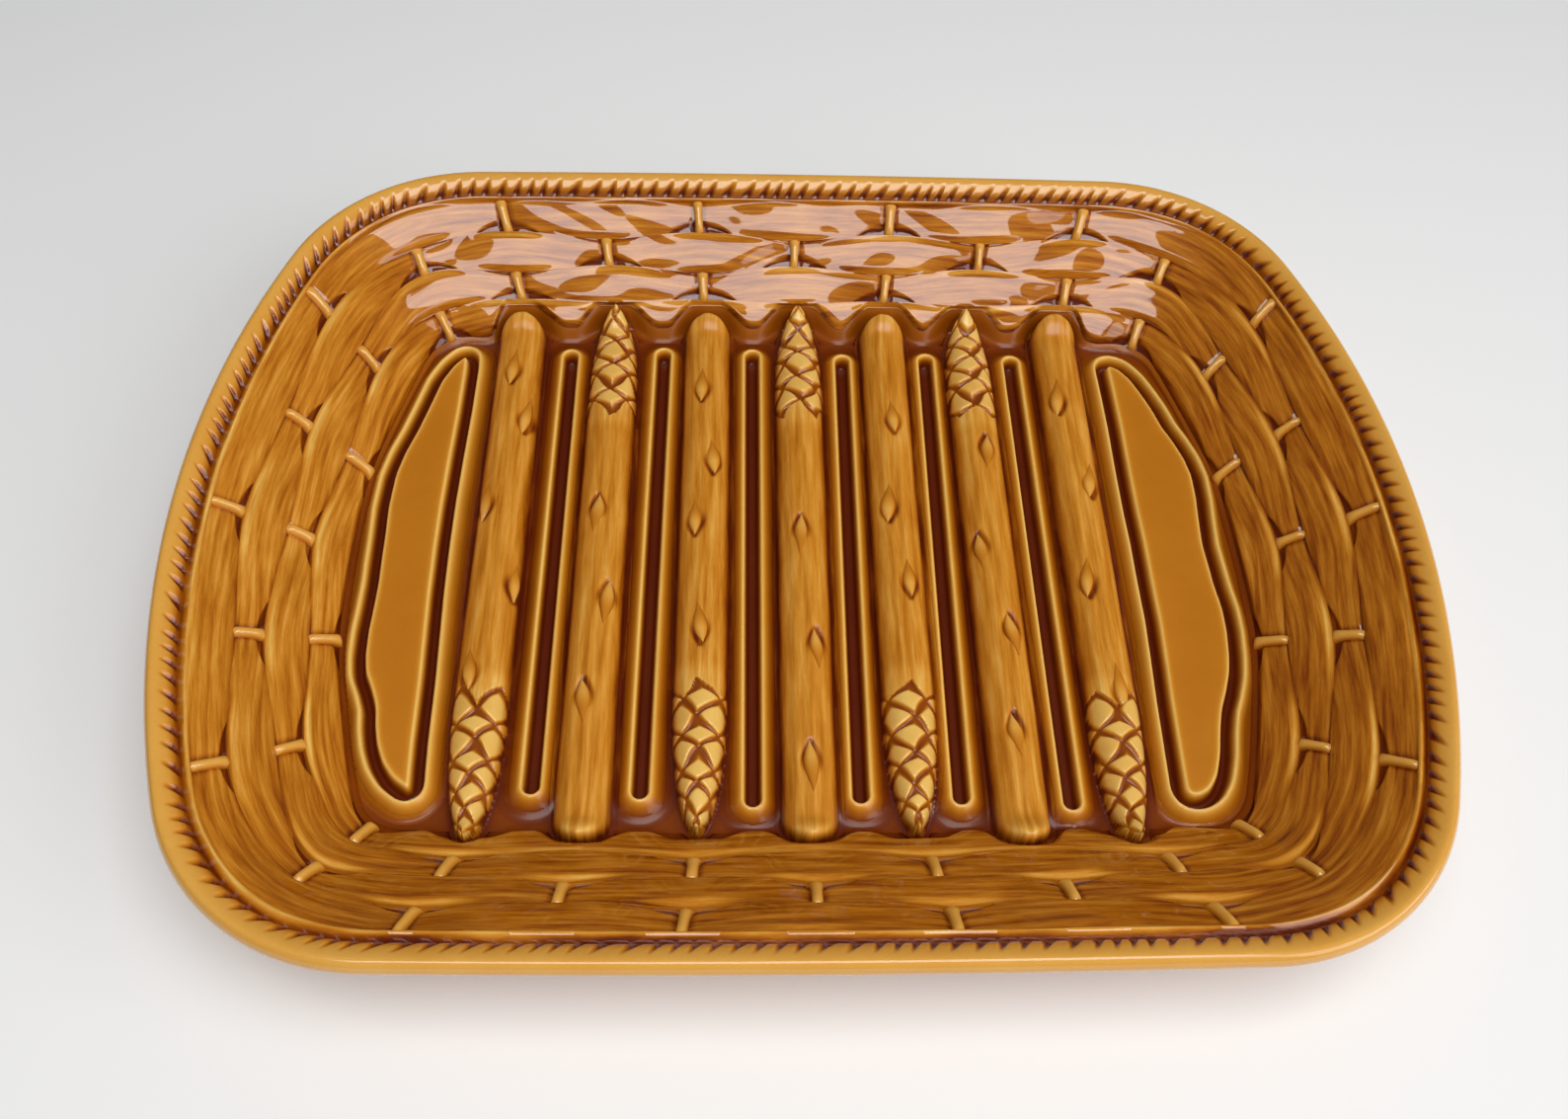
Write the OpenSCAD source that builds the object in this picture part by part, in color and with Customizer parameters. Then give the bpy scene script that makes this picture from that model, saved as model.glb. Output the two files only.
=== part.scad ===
// Glazed asparagus plate: a deep oblong dish with a roped rim, a basket-weave wall
// and seven asparagus spears between drain slots. Millimetres, +Z up, +X along the plate.
// The real plate is one fired piece, so each node here is one moulded feature of it.

/* [Plan] */
// Overall length
plate_length = 360; // [352:1:384]
// Overall width
plate_width = 280; // [272:1:292]
// Radius of the long sides, which are almost straight
side_r = 5500; // [4000:100:9000]
// Radius of the bowed ends
end_r = 300; // [270:1:330]
// Radius of the corners, at the rim
corner_r = 61; // [58:1:68]
// Width of the rim and wall on the long sides, seen from above
wall_side = 49; // [47:0.5:51]
// Width of the rim and wall at the ends, seen from above
wall_end = 44.5; // [43:0.5:46]

/* [Heights] */
// Height of the foot ring
foot_h = 3; // [2:0.5:5]
// Thickness of the floor
floor_t = 5; // [4:0.5:7]
// Height of the wall's woven part above the floor
weave_rise = 28.5; // [26:0.5:31]
// Height of the weave's lowest edge above the floor
weave_toe = 2.2; // [1.5:0.1:3]
// Height of the rim's crest above the top of the woven part
rim_rise = 6.2; // [5:0.1:7.5]
// Thickness of the wall, measured straight down
wall_t = 6.2; // [5:0.2:8]

/* [Weave] */
// Height of a strand where it bows out
strand_h = 2.2; // [1.6:0.1:3]
// Height of a strand where it passes under a stake
dip_h = 0.6; // [0.4:0.1:1]
// Width of a stake
stake_w = 2.9; // [2:0.1:3.6]
// Height of a stake above the wall
stake_h = 2.2; // [1.6:0.1:3]

/* [Rope border] */
// Length of one turn of the rope along the rim
rope_pitch = 5.3; // [4.5:0.1:6]
// Height of a turn
rope_h = 1.5; // [1:0.1:2]
// Depth of the notch between two turns
rope_notch = 1.1; // [0.6:0.1:1.3]

/* [Spears] */
// Distance between neighbouring spears, as a share of the plate's length
spear_pitch_share = 0.0833; // [0.0806:0.0001:0.0842]
// Width of a spear
spear_w = 15.2; // [13:0.1:15.5]
// Height of a spear above the floor
spear_h = 8; // [6:0.5:10]
// How far a spear runs up the wall, seen from above
spear_climb = 6; // [4:0.5:8]
// Length of the scaled tip
tip_length = 46; // [36:1:52]
// Width of the tip at its very end
tip_end_w = 4; // [3:0.5:6]
// Length of a bract on the stem
bract_length = 11; // [8:0.5:13]
// Height of a bract above the stem
bract_h = 0.9; // [0.5:0.1:1.5]

/* [Slots and grooves] */
// Width of a slot between two spears
slot_w = 4; // [3:0.1:4.4]
// Width of the raised bar round a slot
bar_w = 9; // [8:0.5:9]
// Height of the bars, the groove lips and the plateaus above the floor
bar_h = 4; // [3:0.5:5]
// Depth of the slots and grooves below the floor's surface
slot_cut = 1; // [0.5:0.1:2]
// Length of solid bar past the end of a slot
bar_end = 3.5; // [2.5:0.5:5]
// Width of the curved groove round each plateau
groove_w = 4; // [3:0.1:4.4]
// Width of the lip outside the curved groove
lip_w = 1.5; // [1:0.1:2]
// Flat floor between an outer spear and the groove's lip
spear_gap = 5; // [4:0.25:6]
// Flat floor between the bars and the wall's foot
foot_gap = 4.5; // [3:0.25:6]
// Flat floor between the groove's lip and the wall's foot, on the long sides
lip_gap = 5; // [4:0.25:6.5]
// Flat floor between the groove's lip and the wall's foot, at the ends
bow_gap = 4; // [3:0.1:5]

/* [Hidden] */
// Counts: spears, stakes in a quarter of the plate, wall stations from stake to stake
spears = 7;
quarter_bays = 7;
bay_steps = 4;
bays = 4 * quarter_bays;
stations = bays * bay_steps;
side_bays = (spears - 1) / 2;
arch_steps = 8;
groove_steps = 28;

// The wall's woven part: its start and the width of one row, as shares of the wall's width
weave_share = 0.21;
row_share = 0.19;
rows = 4;
// Where a strand's flat back starts, as a share of the row
shoulder_share = 0.28;

// Heights above the surface that the plate stands on
floor_top = foot_h + floor_t;
weave_top = floor_top + weave_rise;
rim_top = weave_top + rim_rise;
weave_low = floor_top + weave_toe;

// Plan of the rim and of the wall's foot: half length, half width and the three radii
rim_plan = [plate_length / 2, plate_width / 2, side_r, end_r, corner_r];
foot_plan = [
    plate_length / 2 - wall_end,
    plate_width / 2 - wall_side,
    side_r - wall_side,
    end_r - wall_end,
    corner_r - (wall_side + wall_end) / 2
];
foot_x = foot_plan[0];
foot_y = foot_plan[1];
spear_pitch = plate_length * spear_pitch_share;

// Where the stakes stand along a quarter of the rim and of the wall's foot, far side to end.
// On the long sides they come down the wall at the spears.
rim_shares = [0, 0.1215, 0.241, 0.3655, 0.4935, 0.6693, 0.832, 1];
foot_corner_shares = [0.559, 0.703, 0.853, 1];
foot_shares = concat(
    [for (j = [0:side_bays]) spear_pitch * j / quarter_length(foot_plan)],
    foot_corner_shares
);

// The spears and what lies between and beside them
spear_half = foot_y + spear_climb;
spear_r = spear_w / 2;
bar_half = foot_y - foot_gap;
slot_half = bar_half - bar_end;
outer_spear_x = spear_pitch * (spears - 1) / 2;
chord_x = outer_spear_x + spear_r + spear_gap + lip_w + groove_w;
plateau_bow_x = foot_x - bow_gap - lip_w - groove_w;
plateau_half = foot_y - lip_gap - lip_w - groove_w;
bow_flat_share = 3.5;
bow_end_share = 0.9;
overrun = slot_cut / 2;

// The spears and slots were laid by hand: how far each one's far end and near end stand
// to the right of their even places, as shares of the spears' pitch
spear_shift_shares = [
    [-0.08, -0.067], [-0.027, -0.057], [0.017, -0.02], [0.037, -0.003],
    [0.007, -0.037], [-0.037, -0.077], [-0.013, -0.09]
];
slot_shift_shares = [
    [-0.017, -0.027], [0.02, -0.043], [0.017, -0.017],
    [0.033, -0.033], [-0.017, -0.113], [-0.047, -0.1]
];
chord_shift_share = -0.06;

// Places of the bracts: share of the stem's length from the butt, and steps off the crest
bract_places = [
    [[0.04, 0], [0.21, 2], [0.51, -2], [0.76, 2], [0.98, -1]],
    [[0.2, -1], [0.48, 1], [0.76, 0]],
    [[0.1, 0], [0.36, 1], [0.56, -1], [0.89, 0]],
    [[0.03, 0], [0.35, 1], [0.7, 0]],
    [[0.21, 0], [0.52, -1], [0.75, 1]],
    [[0.1, 0], [0.39, 1], [0.64, -1], [0.95, 1]],
    [[0.13, -1], [0.43, 1], [0.75, -1], [0.98, 0]]
];

honey = "#c98a1e";
amber = "#b8741a";
pale = "#dcab4a";
brown = "#8a4a12";

// Centre of the corner arc, which touches the side arc and the end arc from inside
function corner_centre(plan) =
    let (
        side_c = [0, plan[1] - plan[2]],
        end_c = [plan[0] - plan[3], 0],
        side_d = plan[2] - plan[4],
        end_d = plan[3] - plan[4],
        gap = end_c - side_c,
        d = norm(gap),
        along = (side_d * side_d - end_d * end_d + d * d) / (2 * d),
        across = sqrt(side_d * side_d - along * along)
    )
    side_c + along * gap / d + across * [gap[1], -gap[0]] / d;

// Directions in which the side arc ends and the end arc starts
function arc_turns(plan) =
    let (c = corner_centre(plan))
    [atan2(c[1] - plan[1] + plan[2], c[0]), atan2(c[1], c[0] - plan[0] + plan[3])];

// Lengths of the side, corner and end arcs of a quarter, in radius times degrees
function arc_lengths(plan) =
    let (turns = arc_turns(plan))
    [plan[2] * (90 - turns[0]), plan[4] * (turns[0] - turns[1]), plan[3] * turns[1]];
function quarter_length(plan) = arc_lengths(plan) * [1, 1, 1] * PI / 180;

// Point at a share of the way along a quarter, from the middle of the far side to the end
function quarter_point(plan, share) =
    let (
        c = corner_centre(plan),
        turn_1 = arc_turns(plan)[0],
        lengths = arc_lengths(plan),
        l_1 = lengths[0],
        l_2 = lengths[1],
        turn_2 = arc_turns(plan)[1],
        s = share * (lengths * [1, 1, 1]),
        angle = s < l_1 ? 90 - s / plan[2]
            : s < l_1 + l_2 ? turn_1 - (s - l_1) / plan[4]
            : turn_2 - (s - l_1 - l_2) / plan[3],
        centre = s < l_1 ? [0, plan[1] - plan[2]] : s < l_1 + l_2 ? c : [plan[0] - plan[3], 0],
        r = s < l_1 ? plan[2] : s < l_1 + l_2 ? plan[4] : plan[3]
    )
    centre + r * [cos(angle), sin(angle)];

// Point on a plan curve, clockwise from the middle of the far side, counted in stakes
function plan_point(plan, shares, bay) =
    let (
        quarter = floor(bay / quarter_bays),
        part = bay - quarter * quarter_bays,
        local = quarter % 2 == 0 ? part : quarter_bays - part,
        share = lookup(local, [for (j = [0:quarter_bays]) [j, shares[j]]]),
        p = quarter_point(plan, share)
    )
    [quarter < 2 ? p[0] : -p[0], quarter == 1 || quarter == 2 ? -p[1] : p[1]];

rim_points = [for (i = [0:stations - 1]) plan_point(rim_plan, rim_shares, i / bay_steps)];
foot_points = [for (i = [0:stations - 1]) plan_point(foot_plan, foot_shares, i / bay_steps)];

function blend(a, b, t) = a * (1 - t) + b * t;

// Wall position in plan at a station, whole or not, and a share of the wall's width
function wall_plan(station, w) =
    let (
        i = floor(station),
        t = station - i,
        a = (i + stations) % stations,
        b = (i + 1 + stations) % stations,
        rim = blend(rim_points[a], rim_points[b], t),
        foot = blend(foot_points[a], foot_points[b], t)
    )
    blend(rim, foot, w);

function row_edge(row) = weave_share + row * row_share;
weave_end_share = row_edge(rows);
// Width of the flatter strip between the weave and the floor, on the long sides
toe_run = (1 - weave_end_share) * wall_side;
function wall_z(w) = lookup(w, [[weave_share, weave_top], [weave_end_share, weave_low], [1, floor_top]]);

// Point on the wall, raised square to its slope
function wall_point(station, w, rise) =
    let (
        p = wall_plan(station, w),
        inward = wall_plan(station, 1) - wall_plan(station, 0),
        run = norm(inward) * (weave_end_share - weave_share),
        slope = atan2(weave_top - weave_low, run),
        q = p + inward / norm(inward) * rise * sin(slope)
    )
    [q[0], q[1], wall_z(w) + rise * cos(slope)];

// Skin over a list of sections that have the same number of points
module loft(sections, ring = false) {
    n = len(sections);
    m = len(sections[0]);
    spans = ring ? n : n - 1;
    sides = [
        for (i = [0:spans - 1], j = [0:m - 1])
            let (k = (j + 1) % m, a = i * m, b = ((i + 1) % n) * m)
                each [[a + j, a + k, b + k], [a + j, b + k, b + j]]
    ];
    first = [for (j = [1:m - 2]) [0, j + 1, j]];
    last = [for (j = [1:m - 2]) [(n - 1) * m, (n - 1) * m + j, (n - 1) * m + j + 1]];
    polyhedron(
        points = [for (section = sections) each section],
        faces = ring ? sides : concat(sides, first, last)
    );
}

// Section of a strand at a station: outer foot, two shoulders, inner foot
function strand_section(row, station, rise) =
    let (outer = row_edge(row - 1), inner = row_edge(row))
    [
        wall_point(station, outer, 0),
        wall_point(station, blend(outer, inner, shoulder_share), rise),
        wall_point(station, blend(inner, outer, shoulder_share), rise),
        wall_point(station, inner, 0)
    ];

// Height of a strand: low under its own row's stakes, full midway between them
function strand_rise(row, station) =
    let (phase = (station / bay_steps - row) / 2)
    dip_h + (strand_h - dip_h) * abs(sin(180 * phase));

module strand_ring(row) {
    loft([for (i = [0:stations - 1]) strand_section(row, i, strand_rise(row, i))], ring = true);
}

// A length of strand between two stations, stopping short of what stands at its ends
module strand_piece(row, from, to, inset) {
    start = from + inset;
    end = to - inset;
    whole = [for (i = [ceil(start):floor(end)]) i];
    places = concat(
        start < whole[0] ? [start] : [],
        whole,
        whole[len(whole) - 1] < end ? [end] : []
    );
    loft([for (s = places) strand_section(row, s, strand_rise(row, s))]);
}

// One stake: a short peg across its row, seated on the strand that passes under it
module stake(row, bay) {
    i = bay * bay_steps;
    step = norm(wall_plan(i + 1, row_edge(row)) - wall_plan(i, row_edge(row)));
    half = stake_w / 2 / step;
    outer = row_edge(row - 1);
    inner = row_edge(row);
    near = strand_section(row, i, strand_rise(row, i));
    function seat(side) = blend(near, strand_section(row, i + side, strand_rise(row, i + side)), half);
    function section(s, under) = [
        under[0],
        wall_point(s, blend(outer, inner, shoulder_share / 2), stake_h),
        wall_point(s, blend(inner, outer, shoulder_share / 2), stake_h),
        under[3], under[2], under[1]
    ];
    loft([section(i - half, seat(-1)), section(i, near), section(i + half, seat(1))]);
}

// Height of the dish's own surface under a spear
function ground(x, y) =
    let (
        r = foot_plan[2],
        edge = foot_plan[1] - r + sqrt(r * r - x * x),
        gentle = weave_toe / toe_run,
        steep = (weave_top - weave_low) / ((weave_end_share - weave_share) * wall_side),
        over = max(0, abs(y) - edge)
    )
    floor_top + min(over, toe_run) * gentle + max(0, over - toe_run) * steep;

// Rounded section across a spear: an arch that stands on the dish
function arch(x, y, r, h) = [
    for (j = [0:arch_steps])
        let (a = 180 * j / arch_steps, px = x - r * cos(a))
        [px, y, ground(px, y) + h * sin(a)]
];

// Middle of a spear at a place along it
function spear_x(k, y) =
    let (shift = spear_shift_shares[k - 1])
    spear_pitch * (k - (spears + 1) / 2 + blend(shift[1], shift[0], (y / spear_half + 1) / 2));
// Place along a spear, at a distance from its butt
function spear_y(k, along) = facing(k) * (spear_half - along);
// Odd spears point to the near side, even ones to the far side
function facing(k) = k % 2 == 1 ? 1 : -1;
stem_length = 2 * spear_half - tip_length;
// The butt's rounding: angles along a quarter circle, and the height left at its end
butt_angles = [12, 35, 60];
butt_low_share = 0.7;

// Sections are listed from the far side to the near side, whichever way the spear points
module spear_loft(sections, k) {
    m = len(sections);
    loft(facing(k) > 0 ? sections : [for (i = [0:m - 1]) sections[m - 1 - i]]);
}

// A stem's sections: distance from the butt and share of the full width
stem_places = concat(
    [for (a = butt_angles) [spear_r * (1 - cos(a)), sin(a)]],
    [[spear_climb - toe_run, 1], [spear_climb, 1], [stem_length, 1]]
);

module spear_stem(k) {
    spear_loft([
        for (p = stem_places)
            let (y = spear_y(k, p[0]))
            arch(spear_x(k, y), y, spear_r * p[1], spear_h * blend(butt_low_share, 1, p[1]))
    ], k);
}

// The tip's outline from the stem to its end: share of its length, share of its width
tip_outline_share = [[0, 1], [0.3, 1], [0.55, 0.9], [0.76, 0.62], [0.93, 0.28], [1, 0]];
tip_low_share = 0.6;
// Rows of scales on the flat floor, and how far a row's edge stands out of the tip's outline
scale_rows = 5;
scale_relief_share = 0.05;
// A tip's sections: distance from the stem, and 1 at a row's edge, -1 between rows, 0 at the ends
tip_flat = tip_length - spear_climb;
tip_places = concat(
    [[0, 0]],
    [for (i = [1:2 * scale_rows]) [tip_flat * i / (2 * scale_rows), i % 2 == 1 ? 1 : -1]],
    [[tip_flat + toe_run, 1], [blend(tip_flat + toe_run, tip_length, 1 / 2), -1], [tip_length, 0]]
);

module spear_tip(k) {
    spear_loft([
        for (p = tip_places)
            let (
                swell = 1 + p[1] * scale_relief_share,
                share = lookup(p[0] / tip_length, tip_outline_share),
                y = spear_y(k, stem_length + p[0])
            )
            arch(
                spear_x(k, y), y,
                blend(tip_end_w, spear_w, share) / 2 * swell,
                spear_h * blend(tip_low_share, 1, share) * swell
            )
    ], k);
}

// Point on a stem's arch, at a distance from its butt
function on_stem(k, step, along) =
    let (y = spear_y(k, along))
    arch(spear_x(k, y), y, spear_r, spear_h)[step];

// Leaf-shaped bracts lying on the stem, each folded over one edge of the stem's arch
module bracts(k) {
    for (place = bract_places[k - 1]) {
        mid = arch_steps / 2 + place[1];
        centre = spear_climb + bract_length + (stem_length - spear_climb - 2 * bract_length) * place[0];
        tail = on_stem(k, mid, centre - bract_length / 2);
        point = on_stem(k, mid, centre + bract_length / 2);
        left = on_stem(k, mid - 1, centre);
        right = on_stem(k, mid + 1, centre);
        crest = on_stem(k, mid, centre) + [0, 0, bract_h];
        faces = [[0, 1, 2], [0, 2, 3], [1, 0, 4], [2, 1, 4], [3, 2, 4], [0, 3, 4]];
        polyhedron(
            points = [tail, left, point, right, crest],
            faces = facing(k) > 0 ? faces : [for (f = faces) [f[0], f[2], f[1]]]
        );
    }
}

module stadium(half, r) {
    union() {
        translate([-r, r - half])
            square([2 * r, 2 * (half - r)]);
        for (end = [-1, 1])
            translate([0, end * (half - r)])
                circle(r = r, $fn = 48);
    }
}

// Lays an outline over a slot's place, turned as the slot is
module at_slot(k) {
    shift = slot_shift_shares[k - 1];
    x = spear_pitch * (k - spears / 2 + (shift[0] + shift[1]) / 2);
    translate([x, 0])
        rotate(atan2((shift[1] - shift[0]) * spear_pitch, 2 * slot_half))
            children();
}

module slot_bar(k) {
    translate([0, 0, floor_top])
        linear_extrude(bar_h)
            at_slot(k)
                difference() {
                    stadium(bar_half, bar_w / 2);
                    stadium(slot_half, slot_w / 2);
                }
}

// Outline of a plateau, grown outwards by a width: a straight chord and a flattened bow
module ear(side, grow) {
    chord = side * chord_x + chord_shift_share * spear_pitch - side * grow;
    bow_x = side * (plateau_bow_x + grow);
    polygon([
        for (i = [0:groove_steps])
            let (
                t = sin(180 * i / groove_steps - 90),
                bow = pow(1 - pow(abs(t), bow_flat_share), bow_end_share)
            )
            [blend(chord, bow_x, bow), (plateau_half + grow) * t]
    ]);
}

module groove_lip(side) {
    translate([0, 0, floor_top])
        linear_extrude(bar_h)
            difference() {
                ear(side, groove_w + lip_w);
                ear(side, groove_w);
            }
}

module plateau(side) {
    translate([0, 0, floor_top])
        linear_extrude(bar_h)
            ear(side, 0);
}

module dish_floor() {
    difference() {
        translate([0, 0, foot_h])
            linear_extrude(floor_t)
                polygon(foot_points);
        translate([0, 0, floor_top - slot_cut])
            linear_extrude(slot_cut + overrun) {
                for (k = [1:spears - 1])
                    at_slot(k)
                        stadium(slot_half, slot_w / 2);
                for (side = [-1, 1])
                    difference() {
                        ear(side, groove_w);
                        ear(side, 0);
                    }
            }
    }
}

// The wall's outer face: where it leaves the floor's underside and where it meets the rim
toe_share = 0.95;
rim_seat_share = 0.15;
rim_under = weave_top - wall_t
    + (weave_share - rim_seat_share) * (weave_top - weave_low) / (weave_end_share - weave_share);

module dish_wall() {
    outer_face = [[1, floor_top], [1, foot_h], [toe_share, foot_h], [rim_seat_share, rim_under]];
    loft([
        for (i = [0:stations - 1])
            concat(
                [for (row = [0:rows]) wall_point(i, row_edge(row), 0)],
                [for (p = outer_face) concat(wall_plan(i, p[0]), p[1])]
            )
    ], ring = true);
}

// Section of the rim: share of the wall's width, share of the way up from the wall's outer edge
rope_foot_share = [0.185, 0.47];
rope_head_share = [0.085, 0.93];
rim_outline_share = [
    [rim_seat_share, 0], [0.04, 0.34], [0.008, 0.53], [0, 0.73], [0.014, 0.9], [0.046, 1]
];
function rim_height(share) = blend(rim_under, rim_top, share);
function rim_point(station, p) = concat(wall_plan(station, p[0]), rim_height(p[1]));

module rim_lip() {
    loft([
        for (i = [0:stations - 1])
            concat(
                [for (p = rim_outline_share) rim_point(i, p)],
                [rim_point(i, rope_head_share), rim_point(i, rope_foot_share), wall_point(i, weave_share, 0)]
            )
    ], ring = true);
}

// Station of the place that lies at a share of the way round a quarter of the rim
function station_at(quarter, share) =
    let (
        local = lookup(quarter % 2 == 0 ? share : 1 - share, [for (j = [0:quarter_bays]) [rim_shares[j], j]]),
        bay = quarter % 2 == 0 ? local : quarter_bays - local
    )
    (quarter * quarter_bays + bay) * bay_steps;

// Where a turn's crest lies across the rope, from its head to its foot
rope_crest_share = 0.45;
module rope_border() {
    turns = round(quarter_length(rim_plan) / rope_pitch);
    loft([
        for (quarter = [0:3], i = [0:2 * turns - 1])
            let (
                s = station_at(quarter, i / (2 * turns)),
                lean = station_at(quarter, min(1, (i + 1) / (2 * turns))),
                rise = i % 2 == 0 ? rope_h : rope_h - rope_notch,
                head = rim_point(s, rope_head_share),
                foot = rim_point(s, rope_foot_share),
                crest = blend(
                    rim_point(lean, rope_head_share), rim_point(lean, rope_foot_share), rope_crest_share
                ),
                inward = wall_plan(s, 1) - wall_plan(s, 0),
                out = inward / norm(inward) * rise / 2
            )
            [head, [crest[0] + out[0], crest[1] + out[1], crest[2] + rise], foot]
    ], ring = true);
}

foot_ring_share = [1.03, 1.14];
module foot_ring() {
    linear_extrude(foot_h)
        difference() {
            polygon([for (i = [0:stations - 1]) wall_plan(i, foot_ring_share[0])]);
            polygon([for (i = [0:stations - 1]) wall_plan(i, foot_ring_share[1])]);
        }
}

// Station where a spear meets the wall, on the far side (1) or the near side (-1)
function spear_station(side, j) =
    let (
        shift = spear_shift_shares[side_bays + side * j],
        middle = side > 0 ? bays : bays + 2 * quarter_bays
    )
    (middle + j + side * (side > 0 ? shift[0] : shift[1])) * bay_steps;

// Row 4 stops at the spears on the long sides and runs on round the ends
module last_row() {
    inset = (spear_r + lip_w) / spear_pitch * bay_steps;
    for (side = [1, -1]) {
        for (j = [-side_bays:side_bays - 1])
            strand_piece(rows, spear_station(side, j), spear_station(side, j + 1), inset);
        next = side > 0 ? 0 : stations;
        strand_piece(
            rows, spear_station(side, side_bays), spear_station(-side, -side_bays) + next, inset
        );
    }
}

// Stakes of one row: every second one shows, in odd and even rows by turns.
// On the long sides the spears stand where the last row's stakes would be.
module stakes(row) {
    for (bay = [0:bays - 1])
        if ((bay + row) % 2 == 0) {
            from_end = min(abs(bay - quarter_bays), abs(bay - 3 * quarter_bays));
            if (row < rows || from_end < quarter_bays - side_bays)
                stake(row, bay);
        }
}

color(amber) dish_floor();
color(amber) dish_wall();
color(honey) rim_lip();
color(brown) foot_ring();
color(pale) rope_border();
color(honey) strand_ring(1);  // weave_row_1
color(amber) strand_ring(2);  // weave_row_2
color(honey) strand_ring(3);  // weave_row_3
color(amber) last_row();  // weave_row_4
color(pale) stakes(1);  // stakes_row_1
color(pale) stakes(2);  // stakes_row_2
color(pale) stakes(3);  // stakes_row_3
color(pale) stakes(4);  // stakes_row_4
for (k = [1:spears]) {
    color(honey) spear_stem(k);
    color(pale) spear_tip(k);
    color(pale) bracts(k);
}
for (k = [1:spears - 1])
    color(amber) slot_bar(k);
color(honey) groove_lip(-1);  // groove_lip_left
color(honey) groove_lip(1);  // groove_lip_right
color(amber) plateau(-1);  // plateau_left
color(amber) plateau(1);  // plateau_right
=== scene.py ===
import math
import bmesh
import bpy
import numpy as np
from mathutils import Matrix


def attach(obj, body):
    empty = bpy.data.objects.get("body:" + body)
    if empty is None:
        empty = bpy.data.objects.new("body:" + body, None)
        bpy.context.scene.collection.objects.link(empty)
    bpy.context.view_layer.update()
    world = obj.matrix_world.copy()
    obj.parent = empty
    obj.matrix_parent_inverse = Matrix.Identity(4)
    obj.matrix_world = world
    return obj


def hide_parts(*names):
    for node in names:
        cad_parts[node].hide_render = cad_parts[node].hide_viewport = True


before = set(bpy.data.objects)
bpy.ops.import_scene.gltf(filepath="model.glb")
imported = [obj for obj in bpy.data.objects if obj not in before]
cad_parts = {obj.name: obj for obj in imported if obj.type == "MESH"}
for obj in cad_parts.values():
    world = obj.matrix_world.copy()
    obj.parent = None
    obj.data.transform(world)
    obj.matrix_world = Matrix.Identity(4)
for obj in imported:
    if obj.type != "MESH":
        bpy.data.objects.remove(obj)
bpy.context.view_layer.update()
print("frame loaded:", len(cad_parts), "nodes")

# Shapes are worked out in millimetres and turned into metres as each mesh is made.
view = {
    "place": (-0.023125, -0.248376, 0.360577),
    "turn": (35.2075, -2.0828, -1.1731),
    "lens": 32.18,
    "sensor": 36,
    "clip": 0.01,
}


def addObject(data, name):
    item = bpy.data.objects.new(name, data)
    bpy.context.scene.collection.objects.link(item)
    return item


def makeCamera():
    data = bpy.data.cameras.new("camera")
    data.lens, data.sensor_width, data.clip_start = view["lens"], view["sensor"], view["clip"]
    cam = addObject(data, "camera")
    cam.location = view["place"]
    cam.rotation_euler = [math.radians(a) for a in view["turn"]]
    bpy.context.scene.camera = cam


makeCamera()

# plan of the plate
plate = {
    "rimPlan": (180.0, 140.0, 5500.0, 300.0, 61.0),  # half length, half width, side, end and corner radius
    "wallSide": 49.0,
    "wallEnd": 44.5,
    "floorTop": 8.0,
    "weaveTop": 36.5,
    "weaveLow": 10.2,
    "weaveStart": 0.21,  # shares of the wall's width, from the rim inwards
    "rowShare": 0.19,
    "pitch": 30.0,
    "footBend": 0.014,  # softens the turn from the wall to the floor
    "farEdge": (0.925, 0.125),  # where the weave ends between spears, and how far it draws back at them
    "nearEdge": (0.985, 0.060),
    "endEdge": 0.982,
}
rimShares = np.array([0, 0.1215, 0.241, 0.3655, 0.4935, 0.6693, 0.832, 1])
rimPlan = plate["rimPlan"]
footPlan = (
    rimPlan[0] - plate["wallEnd"],
    rimPlan[1] - plate["wallSide"],
    rimPlan[2] - plate["wallSide"],
    rimPlan[3] - plate["wallEnd"],
    rimPlan[4] - (plate["wallSide"] + plate["wallEnd"]) / 2,
)
weaveEnd = plate["weaveStart"] + 4 * plate["rowShare"]
wallFall = (plate["weaveTop"] - plate["weaveLow"]) / (weaveEnd - plate["weaveStart"])


def smooth(low, high, v):
    t = np.clip((v - low) / (high - low), 0, 1)
    return t * t * (3 - 2 * t)


def softMax(a, b, r):
    return 0.5 * (a + b + np.sqrt((a - b) ** 2 + r * r))


def arcs(plan):
    # centres, turning angles and lengths of the three arcs of a quarter: side, corner, end
    halfL, halfW, rSide, rEnd, rCorner = plan
    sideC, endC = np.array([0, halfW - rSide]), np.array([halfL - rEnd, 0])
    gap = endC - sideC
    d = np.hypot(*gap)
    a, b = rSide - rCorner, rEnd - rCorner
    along = (a * a - b * b + d * d) / (2 * d)
    middle = sideC + along * gap / d
    across = math.sqrt(a * a - along * along) * np.array([gap[1], -gap[0]]) / d
    corner = middle + across if (middle + across).sum() > 0 else middle - across
    t1 = math.atan2(corner[1] - sideC[1], corner[0])
    t2 = math.atan2(corner[1], corner[0] - endC[0])
    lengths = np.array([rSide * (math.pi / 2 - t1), rCorner * (t1 - t2), rEnd * t2])
    return sideC, corner, endC, t1, t2, lengths


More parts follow.
